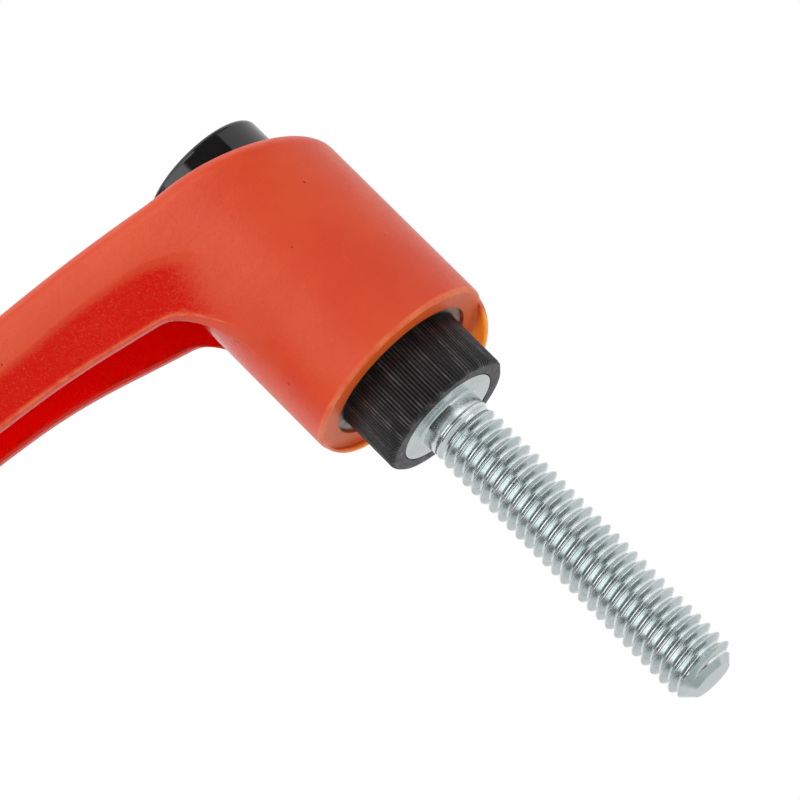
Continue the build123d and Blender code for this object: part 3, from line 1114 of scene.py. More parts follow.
    def outer_wall(self, rows: int = 16) -> Array:
        """Grid of the sides, from the crown to the flanges' lower edges, and round the hub to their level.

        The sides stand out by the bulge from the crown to the widest line, and draw in below it, in step with
        their height. The bulge fades out before the arm's end.

        Args:
            rows: spans below the widest line.

        Returns:
            The grid, whose first row is the crown's edge.
        """
        x = self.rim_xy[:, 0]
        share = np.linspace(0, 1, rows + 1)[:, None]
        bulge = self.bulge * (1 - smooth(x, *self.bulge_fade))
        plan, _ = self.plan.rim(mix(-bulge, self.last_inset(), share))
        rounding = self.edge_rounding(plan[-1])
        bottom = self.underside_at(plan[-1]) + rounding
        upper = self.top(x) - self.crown
        height = mix(self.widest_line(x), bottom, share)
        hub = slice(0, self.tangent)
        high, low = upper[self.tangent], bottom[self.tangent]
        progress = (high - height[:, self.tangent]) / (high - low)
        height[:, hub] = mix(upper[hub], low, progress[:, None])
        upright = in_space(self.rim_xy, upper)[None]
        return np.concatenate([upright, in_space(plan, height)])

    def shade_below_widest(self, wall: Array) -> Array:
        """Mark of the painted shade on the sides: it comes in just below the widest line and fades towards
        the hub.

        Args:
            wall: points of the sides.

        Returns:
            The mark of each point.
        """
        x, z = wall[..., 0], wall[..., 2]
        shade_off_hub = smooth(np.linalg.norm(wall[..., :2], axis=-1) - self.plan.hub, *self.shade_band_end)
        return smooth(self.widest_line(x) - z, *self.shade_band_fade) * shade_off_hub

    def edge_rounding(self, plan: Array) -> Array:
        """Radius that rounds the flanges' outer lower edges; it fades out where they run into the hub."""
        off_wall = np.linalg.norm(plan, axis=-1) - self.plan.hub
        return self.edge_round * smooth(off_wall, *self.edge_fade)

    def inner_rim(self) -> tuple[Array, Array]:
        """Plan points and inward normals of the channel's wall, from the hub's circle to the arm's end.

        Returns:
            The points and the normals.
        """
        inset = np.full(self.stations, self.side_inset + self.flange)
        point, inward = self.plan.rim(inset)
        ends = self.plan.ends
        start = self.channel_corner()
        share = np.linspace(0, 1, ends[3] - self.corner + 1)[:, None]
        point[self.corner: ends[3] + 1] = mix(start, point[ends[3]], share)
        return point[self.corner:], inward[self.corner:]

    def channel_corner(self) -> Array:
        """Plan point where the channel's straight wall meets the hub's circle.

        Returns:
            The point.
        """
        narrowing, _ = self.plan.tapers()
        off_axis = self.plan.root - self.side_inset - self.flange
        angle = math.pi / 2 - narrowing - math.acos(off_axis / self.plan.hub)
        return on_circle(np.float64(self.plan.hub), np.float64(angle))

    def hub_angles(self, wall: Array) -> Array:
        """Angles of the stations round the hub, from its back to its front, shared by all its patches.

        Args:
            wall: the lowest row of the sides.

        Returns:
            The angles, in radians from +X.
        """
        tangent = math.atan2(wall[self.tangent, 1], wall[self.tangent, 0])
        corner = self.channel_corner()
        corner_angle = math.atan2(corner[1], corner[0])
        back = np.linspace(math.pi, tangent, self.tangent + 1)
        side = np.linspace(tangent, corner_angle, self.corner - self.tangent + 1)
        front = np.linspace(corner_angle, 0, self.front - self.corner + 1)
        return np.concatenate([back, side[1:], front[1:]])

    def flange_face(self, outer: Array, inner: Array) -> tuple[Array, Array]:
        """Lower face of the flange between two plan curves, rounded at both edges.

        Args:
            outer: plan curve of the flange's outside.
            inner: plan curve of its inside.

        Returns:
            The grid and its edge mark, a painted highlight and flash line along the outer rounding.
        """
        span = np.linalg.norm(inner - outer, axis=-1)
        outer_round = self.edge_rounding(outer)
        mouth = self.corner - self.tangent
        inner_round = self.inner_edge_round * smooth(np.arange(len(inner)), mouth, mouth + 6)
        near, fall = quarter(self.edge_spans)
        start = outer_round * near[:, None]
        close = span - inner_round * near[::-1, None]
        middle = mix(start[-1], close[0], np.linspace(0, 1, 7)[1:-1, None])
        across = np.concatenate([start, middle, close])
        lift = np.concatenate([outer_round * fall[:, None], np.zeros_like(middle),
                               inner_round * fall[::-1, None]])
        share = across / np.maximum(span, WELD)
        plan = mix(outer, inner, share[..., None])
        # Painted highlight and flash line along the outer rounding.
        mark = np.zeros(len(across))
        mark[: self.edge_spans + 1] = self.edge_flash_and_highlight
        mark = mark[:, None] * smooth(outer_round, 0.05 * MM, 0.2 * MM)
        return in_space(plan, self.underside_at(plan) + lift), mark

    def skirt_depth(self, angle: Array) -> Array:
        """Depth of the skirt below the foot: a deep arch and a low one beside it, each nearly a parabola.

        The two are joined by the fourth root of the sum of their fourth powers.

        Args:
            angle: angles about the axis.

        Returns:
            The depth at each angle.
        """
        total = np.zeros_like(angle)
        for drop, middle, sweep in ((self.skirt_drop, self.skirt_angle, self.skirt_sweep),
                                    (self.tail_drop, self.tail_angle, self.tail_sweep)):
            off = (angle - middle + math.pi) % (2 * math.pi) - math.pi
            share = np.clip(np.abs(off) / (sweep / 2), 0, 1)
            total = total + (drop * (1 - share ** 2) ** self.skirt_power) ** self.skirt_join
        return total ** (1 / self.skirt_join)

    def foot_patch(self, angles: Array, wall_base: float) -> tuple[Array, Array, Array]:
        """Foot of the hub: its rounded rim, the skirt where there is one, and the face round the ring.

        The profile is carried round the axis. It goes down the outer wall, round the skirt's lip, up its
        inner wall, round a hollow blend and in along the face. Without a skirt the lip lies on the face.

        Args:
            angles: where the columns stand about the axis.
            wall_base: height at which the outer wall is taken over.

        Returns:
            The grid, its edge mark, a painted highlight and flash line along the rim where there is no skirt,
            and its thin mark, painted light on the face and a painted glow on the skirt's inner wall.
        """
        depth = self.skirt_depth(angles)
        there = smooth(depth, 0.0, self.skirt_start)
        tip = mix(self.foot_round, self.skirt_wall / 2, there)
        near, fall = quarter(6)
        hub, foot = self.plan.hub, self.foot
        lip = foot - depth
        outer_height = mix(np.full_like(angles, wall_base), lip + tip, np.linspace(0, 1, 6)[:, None])
        outer = np.stack([np.full_like(outer_height, hub), outer_height])
        first = np.stack([hub - tip * near[1:, None], lip + tip * fall[1:, None]])
        back = (self.skirt_wall - tip) * there
        second = np.stack([hub - tip - back * (1 - fall[1:, None]), lip + back * near[1:, None]])
        hollow = np.minimum(self.skirt_blend, 0.75 * np.maximum(depth - back, 0))
        wall_radius = hub - tip - back
        rise = mix(lip + back, foot - hollow, np.linspace(0, 1, 6)[1:, None])
        inner = np.stack([np.broadcast_to(wall_radius, rise.shape), rise])
        blend = np.stack([wall_radius - hollow * near[1:, None], foot - hollow * fall[1:, None]])
        end = self.levels.ring_radius + self.ring_lead
        face_radius = mix(wall_radius - hollow, np.full_like(angles, end), np.linspace(0, 1, 5)[1:, None])
        face = np.stack([face_radius, np.full_like(face_radius, foot)])
        flat = np.zeros_like(angles)
        lead_near, lead_fall = (self.ring_lead * part[1:, None] + flat for part in quarter(3))
        lead = np.stack([self.levels.ring_radius + lead_fall, foot + lead_near])
        radius, height = np.concatenate([outer, first, second, inner, blend, face, lead], axis=1)
        grid = in_space(on_circle(radius, angles), height)
        # Painted light: the foot's face is lightened a little and the skirt's inner wall glows.
        thin = mix(self.foot_painted_light, 1.0, smooth(foot - height, *self.skirt_glow_fade)) * (radius < hub - tip * 0.6)
        # Painted highlight and flash line along the rim where there is no skirt.
        rim_flash_and_highlight_rows = np.zeros(len(radius))
        rim_flash_and_highlight_rows[self.rim_row: self.rim_row + len(self.rim_flash_and_highlight)] = self.rim_flash_and_highlight
        mark = rim_flash_and_highlight_rows[:, None] * (1 - there)
        return grid, mark, thin

    def inner_profile(self, angles: Array) -> Array:
        """Inside of the hub below the bore's wall: ring bore, web and the web's hole.

        Args:
            angles: where the columns stand about the axis.

        Returns:
            The grid.
        """
        ring = self.levels.ring_radius
        rows = [(ring, self.foot + self.ring_lead), (ring, self.levels.sleeve_top),
                (self.web_hole, self.levels.sleeve_top),
                (self.web_hole, self.levels.web_top), (self.bore, self.levels.web_top)]
        return revolve(np.array(rows), angles)

    def add_top(self, shell: Shell, top: Array) -> None:
        """Adds the crowned top, with the paler line along its crown.

        Args:
            shell: what it is added to.
            top: grid of the top.
        """
        line_x = top[self.crown_row, :, 0]
        crown_line = np.zeros(top.shape[:2])
        crown_line[self.crown_row] = self.crown_mark * smooth(line_x, *self.crown_mark_fade)
        shell.add_both_sides(top, crown_line)

    def add_channel(self, shell: Shell, angles: Array) -> tuple[Array, Array]:
        """Adds the flanges' lower faces, and the channel's roof and walls.

        Args:
            shell: what they are added to.
            angles: angles of the stations round the hub.

        Returns:
            The grids of the flanges' faces and of the roof.
        """
        inner, inward = self.inner_rim()
        outer_edge = self.plan.rim(self.last_inset())[0][self.tangent:]
        hub_angle = angles[self.tangent: self.corner]
        hub_side = on_circle(np.full_like(hub_angle, self.plan.hub), hub_angle)
        face, mark = self.flange_face(outer_edge, np.concatenate([hub_side, inner]))
        # Painted shade on the flanges' lower faces, fading out by the hub.
        shade_off_hub = smooth(np.linalg.norm(face[..., :2], axis=-1) - self.plan.hub, *self.flange_shade_fade)
        shell.add_both_sides(face, mark, shade_off_hub)
        size = np.full(len(inner), self.roof_round)
        roof = self.canopy(inner, inward, size, size, lambda x: self.below_top(x, self.roof), self.plan.hub,
                           self.front - self.corner, rows=6)
        # The channel's roof and walls get the painted shade and the painted red glow.
        shell.add_both_sides(roof, 0.0, self.channel_shade_and_glow)
        share = np.linspace(0, 1, self.wall_spans + 1)[:, None, None]
        walls = mix(face[-1, self.corner - self.tangent:], roof[0], share)
        shell.add_both_sides(walls, 0.0, self.channel_shade_and_glow)
        return face, roof

    def add_hub(self, shell: Shell, angles: Array, wall: Array, face: Array, roof: Array) -> None:
        """Adds the hub's front inside the channel, its wall below the arm, its foot and its inside.

        Args:
            shell: what they are added to.
            angles: angles of the stations round the hub.
            wall: grid of the sides.
            face: grid of the flanges' lower faces.
            roof: grid of the channel's roof.
        """
        front_x = self.plan.hub * np.cos(angles[self.corner + 1:])
        base = np.concatenate([wall[-1, : self.tangent, 2], face[-1, : self.corner - self.tangent + 1, 2],
                               self.flange_line(front_x) - self.fill_height])
        spine = roof[-1, : self.front - self.corner + 1]
        spine_angle = np.arctan2(spine[:, 1], spine[:, 0])
        share = np.linspace(0, 1, self.wall_spans + 1)[:, None]
        front_angle = mix(angles[self.corner:], spine_angle, share)
        front_height = mix(base[self.corner:], spine[:, 2], share)
        # Painted shade on the hub's front inside the channel, fading out by the flanges' faces.
        front_shade = smooth(front_height - base[self.corner:], *self.front_shade_fade)
        shell.add_both_sides(in_space(on_circle(self.plan.hub, front_angle), front_height), 0.0, front_shade)

        wall_base = self.foot + 2 * self.foot_round
        lower = mix(base, np.full_like(base, wall_base), np.linspace(0, 1, self.wall_spans)[:, None])
        shell.add_both_sides(in_space(on_circle(self.plan.hub, np.broadcast_to(angles, lower.shape)), lower))
        for side in (angles, -angles[::-1]):
            grid, edge, thin = self.foot_patch(side, wall_base)
            shell.add(grid, edge, thin)
            shell.add(self.inner_profile(side))

    def add_bore(self, shell: Shell, top: Array, angles: Array) -> None:
        """Adds the upper bore's rounded mouth and its wall, down to the web.

        Args:
            shell: what they are added to.
            top: grid of the top, which ends at the mouth.
            angles: angles of the stations round the hub.
        """
        lip = top[-1, : self.front + 1]
        lip_angle = np.arctan2(lip[:, 1], lip[:, 0])
        near, fall = quarter(4)
        radius = self.bore + self.bore_round * fall[:, None]
        mouth = in_space(on_circle(radius, lip_angle), lip[:, 2] - self.bore_round * near[:, None])
        shell.add_both_sides(mouth, self.mouth_mark)
        share = np.linspace(0, 1, self.wall_spans + 1)[:, None]
        bore_angle = mix(lip_angle, angles, share)
        bore_height = mix(mouth[-1, :, 2], np.full_like(angles, self.levels.web_top), share)
        shell.add_both_sides(in_space(on_circle(self.bore, bore_angle), bore_height))

    def build(self) -> bpy.types.Object:
        """Computes every patch of the lever, welds them and dresses the piece.

        Returns:
            The piece.
        """
        shell = Shell()
        top = self.crowned_top()
        self.add_top(shell, top)
        wall = self.outer_wall()
        shell.add_both_sides(wall, 0.0, self.shade_below_widest(wall))
        angles = self.hub_angles(wall[-1])
        face, roof = self.add_channel(shell, angles)
        self.add_hub(shell, angles, wall, face, roof)
        self.add_bore(shell, top, angles)
        piece = shell.build("lever_moulding")
        place(piece, Body.TURNING, ORANGE, "lever")
        return piece

    def last_inset(self) -> Array:
        """Inset of each station at the sides' lower edge.

        Returns:
            The insets, which are the same all round the hub.
        """
        inset = mix(self.root_side_inset, self.side_inset, smooth(self.rim_xy[:, 0], *self.root_side_fade))
        inset[: self.tangent] = inset[self.tangent]
        return inset


# ---- stud and sleeve --------------------------------------------------------------------------------

@dataclass
class ClampingStud:
    """Plated stud with its rolled thread, the boss that the sleeve is pressed on, and the neck."""

    levels: Levels
    pitch: float = 1.0 * MM
    start: float = 0.26 * MM
    crest: float = 2.95 * MM
    first_crest: float = 2.86 * MM
    depth: float = 0.61 * MM
    crest_flat: float = 0.125
    root_flat: float = 0.25
    softness: float = 0.1
    plain: float = 1.0 * MM
    plain_radius: float = 2.74 * MM
    run_out: float = 2.2 * MM
    tip_radius: float = 1.82 * MM
    neck_radius: float = 2.9 * MM
    neck_round: float = 0.3 * MM
    neck_hole: float = 2.0 * MM
    root_round: float = 0.25 * MM
    boss_round: float = 0.06 * MM
    columns: int = 80
    rows: int = 24

    def thread_radius(self, angle: Array, height: Array) -> Array:
        """Radius of the thread: straight flanks on a right-hand helix, fading in from the plain neck.

        The share of a pitch is taken along the helix. Between a flat crest and a wider flat root the radius
        falls in a straight line, and both corners are softened by a hyperbola. The tip's chamfer cuts the
        thread by a cone of 45 degrees.

        Args:
            angle: angle about the axis.
            height: height of each point.

        Returns:
            The radius at each point.
        """
        def above_zero(value: Array) -> Array:
            """The value where it is positive and 0 elsewhere, with its corner softened by a hyperbola."""
            return (value + np.sqrt(value ** 2 + self.softness ** 2)) / 2

        turn = (height - self.start) / self.pitch - angle / (2 * math.pi)
        off_crest = np.abs(turn - np.round(turn))
        flank = (1 - self.crest_flat - self.root_flat) / 2
        climb = (0.5 - self.root_flat / 2 - off_crest) / flank
        ridge = above_zero(climb) - above_zero(climb - 1)
        there = smooth(-height, self.plain, self.plain + self.run_out)
        along = np.clip(-height / -self.levels.stud_tip, 0, 1)
        threaded = mix(self.first_crest, self.crest, along) - self.depth * (1 - ridge)
        body = mix(self.plain_radius, threaded, there)
        return np.minimum(body, self.tip_radius + height - self.levels.stud_tip)

    def thread(self) -> Array:
        """Grid of the thread: one pitch's profile carried along the helix, and held at both ends.

        Returns:
            The grid, one column for each step along the helix.
        """
        turns = math.ceil(-self.levels.stud_tip / self.pitch) + 1
        share = np.arange(turns * self.columns + 1) / self.columns
        rise = np.linspace(0, 1, self.rows + 1)[:, None]
        height = np.clip((rise - share) * self.pitch, self.levels.stud_tip, -self.plain * 0.5)
        angle = -2 * math.pi * np.broadcast_to(share, height.shape)
        return in_space(on_circle(self.thread_radius(angle, height), angle), height)

    def build(self) -> bpy.types.Object:
        """Computes the stud, the boss and the neck, and dresses the piece.

        Returns:
            The piece.
        """
        shell = Shell()
        shell.add(self.thread())
        angles = full_turn(self.columns)
        top = self.levels
        tip_radius = float(self.thread_radius(np.float64(0), np.float64(top.stud_tip)))
        face = np.array([(tip_radius * share, top.stud_tip) for share in (1.0, 0.5, 0.0)])
        shell.add(revolve(face, angles))
        start = -self.plain * 0.5
        neck, hole = self.neck_radius, self.neck_hole
        corners = [(self.plain_radius, start, 0), (self.plain_radius, 0, self.root_round),
                   (top.boss_radius, 0, self.boss_round), (top.boss_radius, top.sleeve_top, 0),
                   (neck, top.sleeve_top, 0), (neck, top.neck_top, self.neck_round),
                   (hole, top.neck_top, 0), (hole, top.screw_base, 0), (0, top.screw_base, 0)]
        shell.add(revolve(rounded(corners), angles))
        piece = shell.build("plated_stud")
        place(piece, Body.FIXED, PLATED, "threaded_stud")
        return piece


@dataclass
class Serrations:
    """The fine teeth between the stud and the lever: a blackened sleeve inside and a cast ring outside."""

    levels: Levels
    teeth: int = 120
    depth: float = 0.16 * MM
    spans: int = 8
    ridge_power: float = 0.8
    end_face_sheen: float = 0.75
    mesh_gap: float = 0.04 * MM
    bore_lead: float = 0.12 * MM
    bevel: float = 0.3 * MM

    def wave(self, angle: Array) -> Array:
        """Share of a tooth's height at an angle: a rounded ridge at each pitch, a sharper root between."""
        return np.abs(np.cos(angle * self.teeth / 2)) ** self.ridge_power

    @staticmethod
    def worn(angle: Array) -> Array:
        """Share of its height that each of the sleeve's ridges keeps: two sines of whole counts."""
        return 0.84 + 0.1 * np.sin(23 * angle + 1.0) + 0.06 * np.sin(37 * angle)

    def sleeve(self) -> bpy.types.Object:
        """The pressed sleeve: a profile of radii and heights, with the teeth taken off the outer rows.

        Returns:
            The piece.
        """
        top = self.levels
        angles = full_turn(self.teeth * self.spans)
        bore, crest, end = top.boss_radius, top.sleeve_radius, top.sleeve_top
        lead = self.bore_lead
        profile = rounded([(bore, end, 0), (bore, lead, 0), (bore + lead, 0, 0.02 * MM),
                           (crest - self.bevel, 0, 0.04 * MM), (crest, self.bevel, 0.05 * MM),
                           (crest, end - self.bevel, 0), (crest - self.bevel, end, 0), (bore, end, 0)], 3)
        outer = smooth(profile[:, :1], crest - self.bevel, crest - 0.02 * MM)
        ridges = self.wave(angles) * self.worn(angles)
        radius = profile[:, :1] - outer * self.depth * (1 - ridges)
        grid = in_space(on_circle(radius, np.broadcast_to(angles, radius.shape)), profile[:, 1:])
        shell = Shell()
        # The end face gets the pale tone as a painted sheen; the crests get it as wear.
        end_sheen = (profile[:, 1:] < 0.05 * MM) * self.end_face_sheen
        shell.add(grid, np.maximum(outer * ridges ** 3, end_sheen))
        piece = shell.build("serrated_collar", 50.0)
        place(piece, Body.FIXED, BLACKENED, "serrated_sleeve")
        return piece

    def ring(self) -> bpy.types.Object:
        """The ring moulded into the hub's foot, with the matching inner teeth.

        Returns:
            The piece.
        """
        top = self.levels
        angles = full_turn(self.teeth * self.spans)
        inner = top.sleeve_radius + self.mesh_gap
        corners = [(top.ring_radius, top.sleeve_top, 0), (top.ring_radius, top.ring_base, 0.05 * MM),
                   (inner, top.ring_base, 0.03 * MM), (inner, top.sleeve_top, 0),
                   (top.ring_radius, top.sleeve_top, 0)]
        profile = rounded(corners, 3)
        toothed = 1 - smooth(profile[:, :1], inner, inner + 0.25 * MM)
        radius = profile[:, :1] - toothed * self.depth * (1 - self.wave(angles))
        shell = Shell()
        shell.add(in_space(on_circle(radius, np.broadcast_to(angles, radius.shape)), profile[:, 1:]))
        piece = shell.build("toothed_insert", 50.0)
        place(piece, Body.TURNING, CAST_ZINC, "toothed_ring")
        return piece


# ---- release mechanism ------------------------------------------------------------------------------

@dataclass
class Release:
    """What lets the lever be lifted and turned: button, screw, spring and its seat.

    The support gap keeps a row of points near each end of the button's tall wall, so that it shades evenly.
    """

    levels: Levels
    button_round: float = 0.5 * MM
    snap_grip: float = 0.12 * MM
    snap_depth: float = 0.5 * MM
    button_wall: float = 1.4 * MM
    top_wall: float = 1.5 * MM
    wire: float = 0.4 * MM
    wire_fit: float = 0.999
    turns: float = 4.5
    coil_gap: float = 0.25 * MM
    seat_hole: float = 3.0 * MM
    shank: float = 2.0 * MM
    socket: float = 1.5 * MM
    socket_depth: float = 1.5 * MM
    socket_rim: float = 2.2 * MM
    support_gap: float = 0.15 * MM
    washer_round: float = 0.12 * MM
    washer_bore_round: float = 0.08 * MM
    lift: float = 4 * MM

    @property
    def head_base(self) -> float:
        """Height of the screw head's lower face."""
        return self.levels.button_base + self.snap_depth

    def button(self) -> bpy.types.Object:
        """The cap, turned from its profile: it sits on the screw's head and snaps under it.

        Returns:
            The piece.
        """
        top = self.levels
        head, snap = top.head_radius, top.head_radius - self.snap_grip
        inside = top.button_radius - self.button_wall
        roof = top.button_top - self.top_wall
        outer, near = top.button_radius, self.support_gap
        corners = [(snap, top.button_base, 0), (outer, top.button_base, 0.1 * MM),
                   (outer, top.button_base + 2 * near, 0),
                   (outer, top.button_top - self.button_round - near, 0),
                   (outer, top.button_top, self.button_round), (0, top.button_top, 0)]
        outside = rounded(corners, 8)
        hollow = rounded([(0, roof, 0), (inside, roof, 0.4 * MM), (inside, top.screw_top, 0),
                          (head, top.screw_top, 0), (head, self.head_base, 0), (snap, self.head_base, 0),
                          (snap, top.button_base, 0)])
        shell = Shell()
        for profile in (outside, hollow):
            shell.add(revolve(profile, full_turn(144)))
        piece = shell.build("release_button")
        place(piece, Body.FIXED, BLACK, "push_button")
        return piece

    def screw(self) -> bpy.types.Object:
        """The retaining screw, turned from its profile, with a six-sided socket.

        The socket's radius follows a hexagon: its flat's distance over the cosine of the angle to that flat.

        Returns:
            The piece.
        """
        top = self.levels
        angles = full_turn(96)
        flat = self.socket / np.cos((angles + math.pi / 6) % (math.pi / 3) - math.pi / 6)
        corners = [(0, top.screw_base, 0), (self.shank, top.screw_base, 0.3 * MM),
                   (self.shank, self.head_base, 0.1 * MM), (top.head_radius, self.head_base, 0.1 * MM),
                   (top.head_radius, top.screw_top, 0.15 * MM), (self.socket_rim, top.screw_top, 0)]
        shell = Shell()
        shell.add(revolve(rounded(corners), angles))
        rim_radius = np.stack([np.full_like(angles, self.socket_rim), flat])
        rim = in_space(on_circle(rim_radius, angles), top.screw_top)
        depth = top.screw_top - self.socket_depth
        heights = np.array([[top.screw_top], [depth], [depth]])
        well = in_space(on_circle(np.stack([flat, flat, flat * 0]), angles), heights)
        shell.add(np.concatenate([rim, well[1:]]))
        piece = shell.build("retaining_screw_turned")
        place(piece, Body.FIXED, SCREW_STEEL, "retaining_screw")
        return piece

    def spring(self) -> bpy.types.Object:
        """The return spring: a circle of the wire's radius carried along a helix, closed at both ends.

        Returns:
            The piece.
        """
        radius = self.levels.head_radius - self.snap_grip - self.coil_gap - self.wire
        height = self.head_base - self.levels.seat_top - 2 * self.wire
        along = np.linspace(0, 1, int(72 * self.turns) + 1)
        angle = 2 * math.pi * self.turns * along
        centre = in_space(on_circle(radius, angle), self.levels.seat_top + self.wire + height * along)
        outward = in_space(on_circle(1.0, angle), 0.0)
        climb = math.atan2(height, 2 * math.pi * self.turns * radius)
        tangent = in_space(on_circle(math.cos(climb), angle + math.pi / 2), math.sin(climb))
        across = np.cross(tangent, outward)
        section = full_turn(20)[:, None, None]
        grid = centre + self.wire * self.wire_fit * (np.cos(section) * outward + np.sin(section) * across)
        shell = Shell()
        shell.add(grid)
        for column in (0, -1):
            ring = grid[:, column]
            shell.add(np.stack([ring, np.broadcast_to(centre[column], ring.shape)]))
        piece = shell.build("return_coil")
        place(piece, Body.FIXED, SPRING_WIRE, "return_spring")
        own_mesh(piece)
        return piece

    def seat(self) -> bpy.types.Object:
        """The spring's thrust washer, turned from its profile, with its stamped edges a little rounded.

        Returns:
            The piece.
        """
        top = self.levels
        outer, hole = top.button_radius, self.seat_hole
        seam = (hole, top.web_top + 0.2 * MM, 0)
        corners = [seam, (hole, top.web_top, self.washer_bore_round), (outer, top.web_top, self.washer_round),
                   (outer, top.seat_top, self.washer_round), (hole, top.seat_top, self.washer_bore_round),
                   seam]
        shell = Shell()
        shell.add(revolve(rounded(corners), full_turn(96)))
        piece = shell.build("thrust_washer")
        place(piece, Body.SEAT, SEAT_STEEL, "spring_seat")
        return piece

    def build(self) -> None:
        """Builds the four pieces."""
        self.button()
        self.screw()
        self.spring()
        self.seat()


# ---- studio -----------------------------------------------------------------------------------------

@dataclass(frozen=True)
class Lamp:
    """A rectangular soft lamp that faces the part.

    The bearing is its azimuth, from +Y towards -X, and its elevation, in degrees. The size is its width and
    its height, and the power is in watts.
    """

    name: str
    bearing: tuple[float, float]
    distance: float
    size: tuple[float, float]
    power: float

    def build(self) -> None:
        """Makes the lamp and turns it towards the origin."""
        azimuth, elevation = (math.radians(value) for value in self.bearing)
        towards = (-math.sin(azimuth) * math.cos(elevation), math.cos(azimuth) * math.cos(elevation),
                   math.sin(elevation))
        where = self.distance * Vector(towards)
        data = bpy.data.lights.new(self.name, "AREA")
        data.shape = "RECTANGLE"
        data.size, data.size_y = self.size
        data.energy = self.power
        lamp = bpy.data.objects.new(self.name, data)
        lamp.location = where
        lamp.rotation_euler = (-where).to_track_quat("-Z", "Y").to_euler()
        bpy.context.scene.collection.objects.link(lamp)


@dataclass(frozen=True)
class Card:
    """A matt card that shows only in reflections: a patch of a sphere about the origin.

    The azimuths, from +Y towards -X, and the elevations are its ranges in degrees. The tone is its grey.
    """

    name: str
    azimuths: tuple[float, float]
    elevations: tuple[float, float]
    tone: float
    distance: float = 0.46
    unevenness: float = 0.2
    coolness: float = 1.1

    def grid(self, steps: int = 17) -> Array:
        """Grid of the patch.

        Args:
            steps: points each way.

        Returns:
            The grid, whose columns are the azimuths.
        """
        side = np.radians(np.linspace(*self.azimuths, steps))
        height = np.radians(np.linspace(*self.elevations, steps))[:, None]
        return self.distance * in_space(on_circle(np.cos(height), side + math.pi / 2), np.sin(height))

    def build(self) -> None:
        """Makes the card, hides it from all but reflections, and gives it a slightly uneven matt grey."""
        shell = Shell()
        shell.add(self.grid())
        piece = shell.build(self.name)
        for kind in ("camera", "diffuse", "shadow", "transmission"):
            setattr(piece, f"visible_{kind}", False)
        material = bpy.data.materials.new(self.name)
        material.use_nodes = True
        nodes = Nodes(material.node_tree)
        where = nodes.make("ShaderNodeTexCoord").outputs["Object"]
        low, high = self.tone * (1 - self.unevenness), self.tone * (1 + self.unevenness)
        level = nodes.ramp(nodes.noise(where, 8.0), 0.3, 0.7, low, high)
        blue = nodes.math("MULTIPLY", level, self.coolness)
        colour = nodes.make("ShaderNodeCombineColor", {0: level, 1: blue, 2: blue})
        shader = material.node_tree.nodes["Principled BSDF"]
        material.node_tree.links.new(colour.outputs[0], shader.inputs["Base Color"])
        shader.inputs["Specular IOR Level"].default_value = 0.0
        piece.data.materials.append(material)


LAMPS = (
    Lamp("key_lamp", (-24, 42), 0.61, (0.82, 0.22), 0.78),
    Lamp("side_lamp", (-38, 24), 0.4, (0.34, 0.08), 0.12),
    Lamp("fill_lamp", (50, -34), 0.6, (0.4, 0.4), 1.45),
    Lamp("stud_lamp", (40, 14), 0.6, (0.5, 0.085), 0.09),
)
CARDS = (
    Card("front_card", (-60, 13), (6, 16), 0.65),
    Card("front_low_card", (-75, 30), (-14, 6), 0.03),
    Card("low_card", (-75, 30), (-50, -14), 0.2),
    Card("under_card", (-140, 140), (-87, -50), 0.5, 0.2),
    Card("button_card", (-10, 62), (21.3, 33), 0.03, 0.2),
    Card("right_card", (15, 52), (27.5, 62), 0.12),
    Card("far_right_card", (52, 100), (27.5, 62), 0.35),
    Card("hub_left_card", (-105, -62), (12, 25), 0.12),
    Card("left_card", (-95, -77), (25, 52), 0.15),
    Card("far_left_card", (-130, -95), (25, 52), 0.55),
)


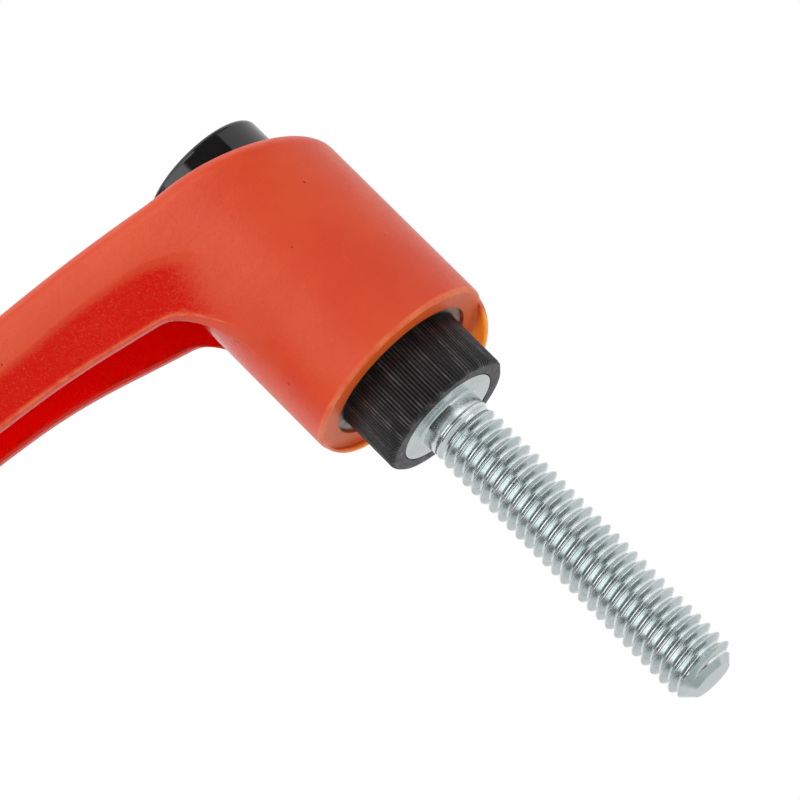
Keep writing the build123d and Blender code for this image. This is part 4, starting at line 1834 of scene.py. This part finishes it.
@dataclass
class Studio:
    """Camera, soft lamps, cards, white surroundings and a pale floor well below the part.

    The camera stands at an azimuth and an elevation about the origin, rolled about its own axis. Its place is
    given in its own directions: right, up and towards it.
    """

    azimuth: float = math.radians(180)
    elevation: float = math.radians(-16.7)
    roll: float = math.radians(-45.07)
    distance: float = 0.49
    lens: float = 285.165
    sensor: float = 36.0
    aside: float = -3.727 * MM
    above: float = 1.322 * MM
    floor_drop: float = 0.2
    floor_half: float = 2.0
    diffuse_level: float = 0.78

    def __post_init__(self) -> None:
        """Works out the camera's directions from its azimuth, elevation and roll."""
        az, el, roll = self.azimuth, self.elevation, self.roll
        self.look = Vector((-math.sin(az) * math.cos(el), math.cos(az) * math.cos(el), -math.sin(el)))
        level = Vector((math.cos(az), math.sin(az), 0))
        up = level.cross(self.look)
        self.right = math.cos(roll) * level + math.sin(roll) * up
        self.up = -math.sin(roll) * level + math.cos(roll) * up

    def at(self, right: float, up: float, towards: float) -> Vector:
        """A place given in the camera's directions."""
        return self.right * right + self.up * up - self.look * towards

    def camera(self) -> None:
        """The camera, aimed so that the origin stands a little off the picture's centre."""
        data = bpy.data.cameras.new("view_camera")
        data.sensor_width = self.sensor
        data.lens = self.lens
        data.clip_start, data.clip_end = 0.02, 20.0
        camera = bpy.data.objects.new("view_camera", data)
        bpy.context.scene.collection.objects.link(camera)
        axes = Matrix((self.right, self.up, -self.look)).transposed()
        place_at = self.at(self.aside, self.above, self.distance)
        camera.matrix_world = Matrix.Translation(place_at) @ axes.to_4x4()
        bpy.context.scene.camera = camera

    def surroundings(self) -> None:
        """White surroundings: full strength where they are seen, also by reflection, and softer as light."""
        world = bpy.data.worlds.new("white_surroundings")
        bpy.context.scene.world = world
        world.use_nodes = True
        world.node_tree.nodes.clear()
        nodes = Nodes(world.node_tree)
        path = nodes.make("ShaderNodeLightPath").outputs
        seen = nodes.math("MAXIMUM", path["Is Camera Ray"], path["Is Glossy Ray"])
        seen = nodes.math("MAXIMUM", seen, path["Is Transmission Ray"])
        strength = nodes.ramp(seen, 0.0, 1.0, self.diffuse_level, 1.0)
        background = nodes.make("ShaderNodeBackground", {"Color": (1, 1, 1, 1), "Strength": strength})
        nodes.make("ShaderNodeOutputWorld", {"Surface": background.outputs[0]})

    def floor(self) -> None:
        """A wide pale floor below the stud, computed as a flat grid."""
        side = np.linspace(-self.floor_half, self.floor_half, 9)
        x, y = np.meshgrid(side, side)
        grid = np.stack([x, y, np.full_like(x, -self.floor_drop)], axis=-1)
        shell = Shell()
        shell.add(grid)
        piece = shell.build("pale_floor")
        material = bpy.data.materials.new("pale_floor_paint")
        material.use_nodes = True
        shader = material.node_tree.nodes["Principled BSDF"]
        nodes = Nodes(material.node_tree)
        where = nodes.make("ShaderNodeTexCoord").outputs["Object"]
        tone = nodes.ramp(nodes.noise(where, 3.0), 0.3, 0.7, 0.86, 0.9)
        colour = nodes.make("ShaderNodeCombineColor", {0: tone, 1: tone, 2: tone})
        material.node_tree.links.new(colour.outputs[0], shader.inputs["Base Color"])
        shader.inputs["Roughness"].default_value = 0.9
        piece.data.materials.append(material)

    def build(self) -> None:
        """Sets up the whole studio."""
        self.camera()
        self.surroundings()
        self.floor()
        for item in (*LAMPS, *CARDS):
            item.build()
        bpy.context.scene.view_settings.view_transform = "Standard"


def main() -> None:
    """Builds the pieces in order, then the studio."""
    logging.basicConfig(level=logging.INFO, format="%(message)s")
    levels = Levels()
    MouldedLever(levels).build()
    ClampingStud(levels).build()
    serrations = Serrations(levels)
    serrations.sleeve()
    serrations.ring()
    Release(levels).build()
    Studio().build()


if __name__ == "__main__":
    main()
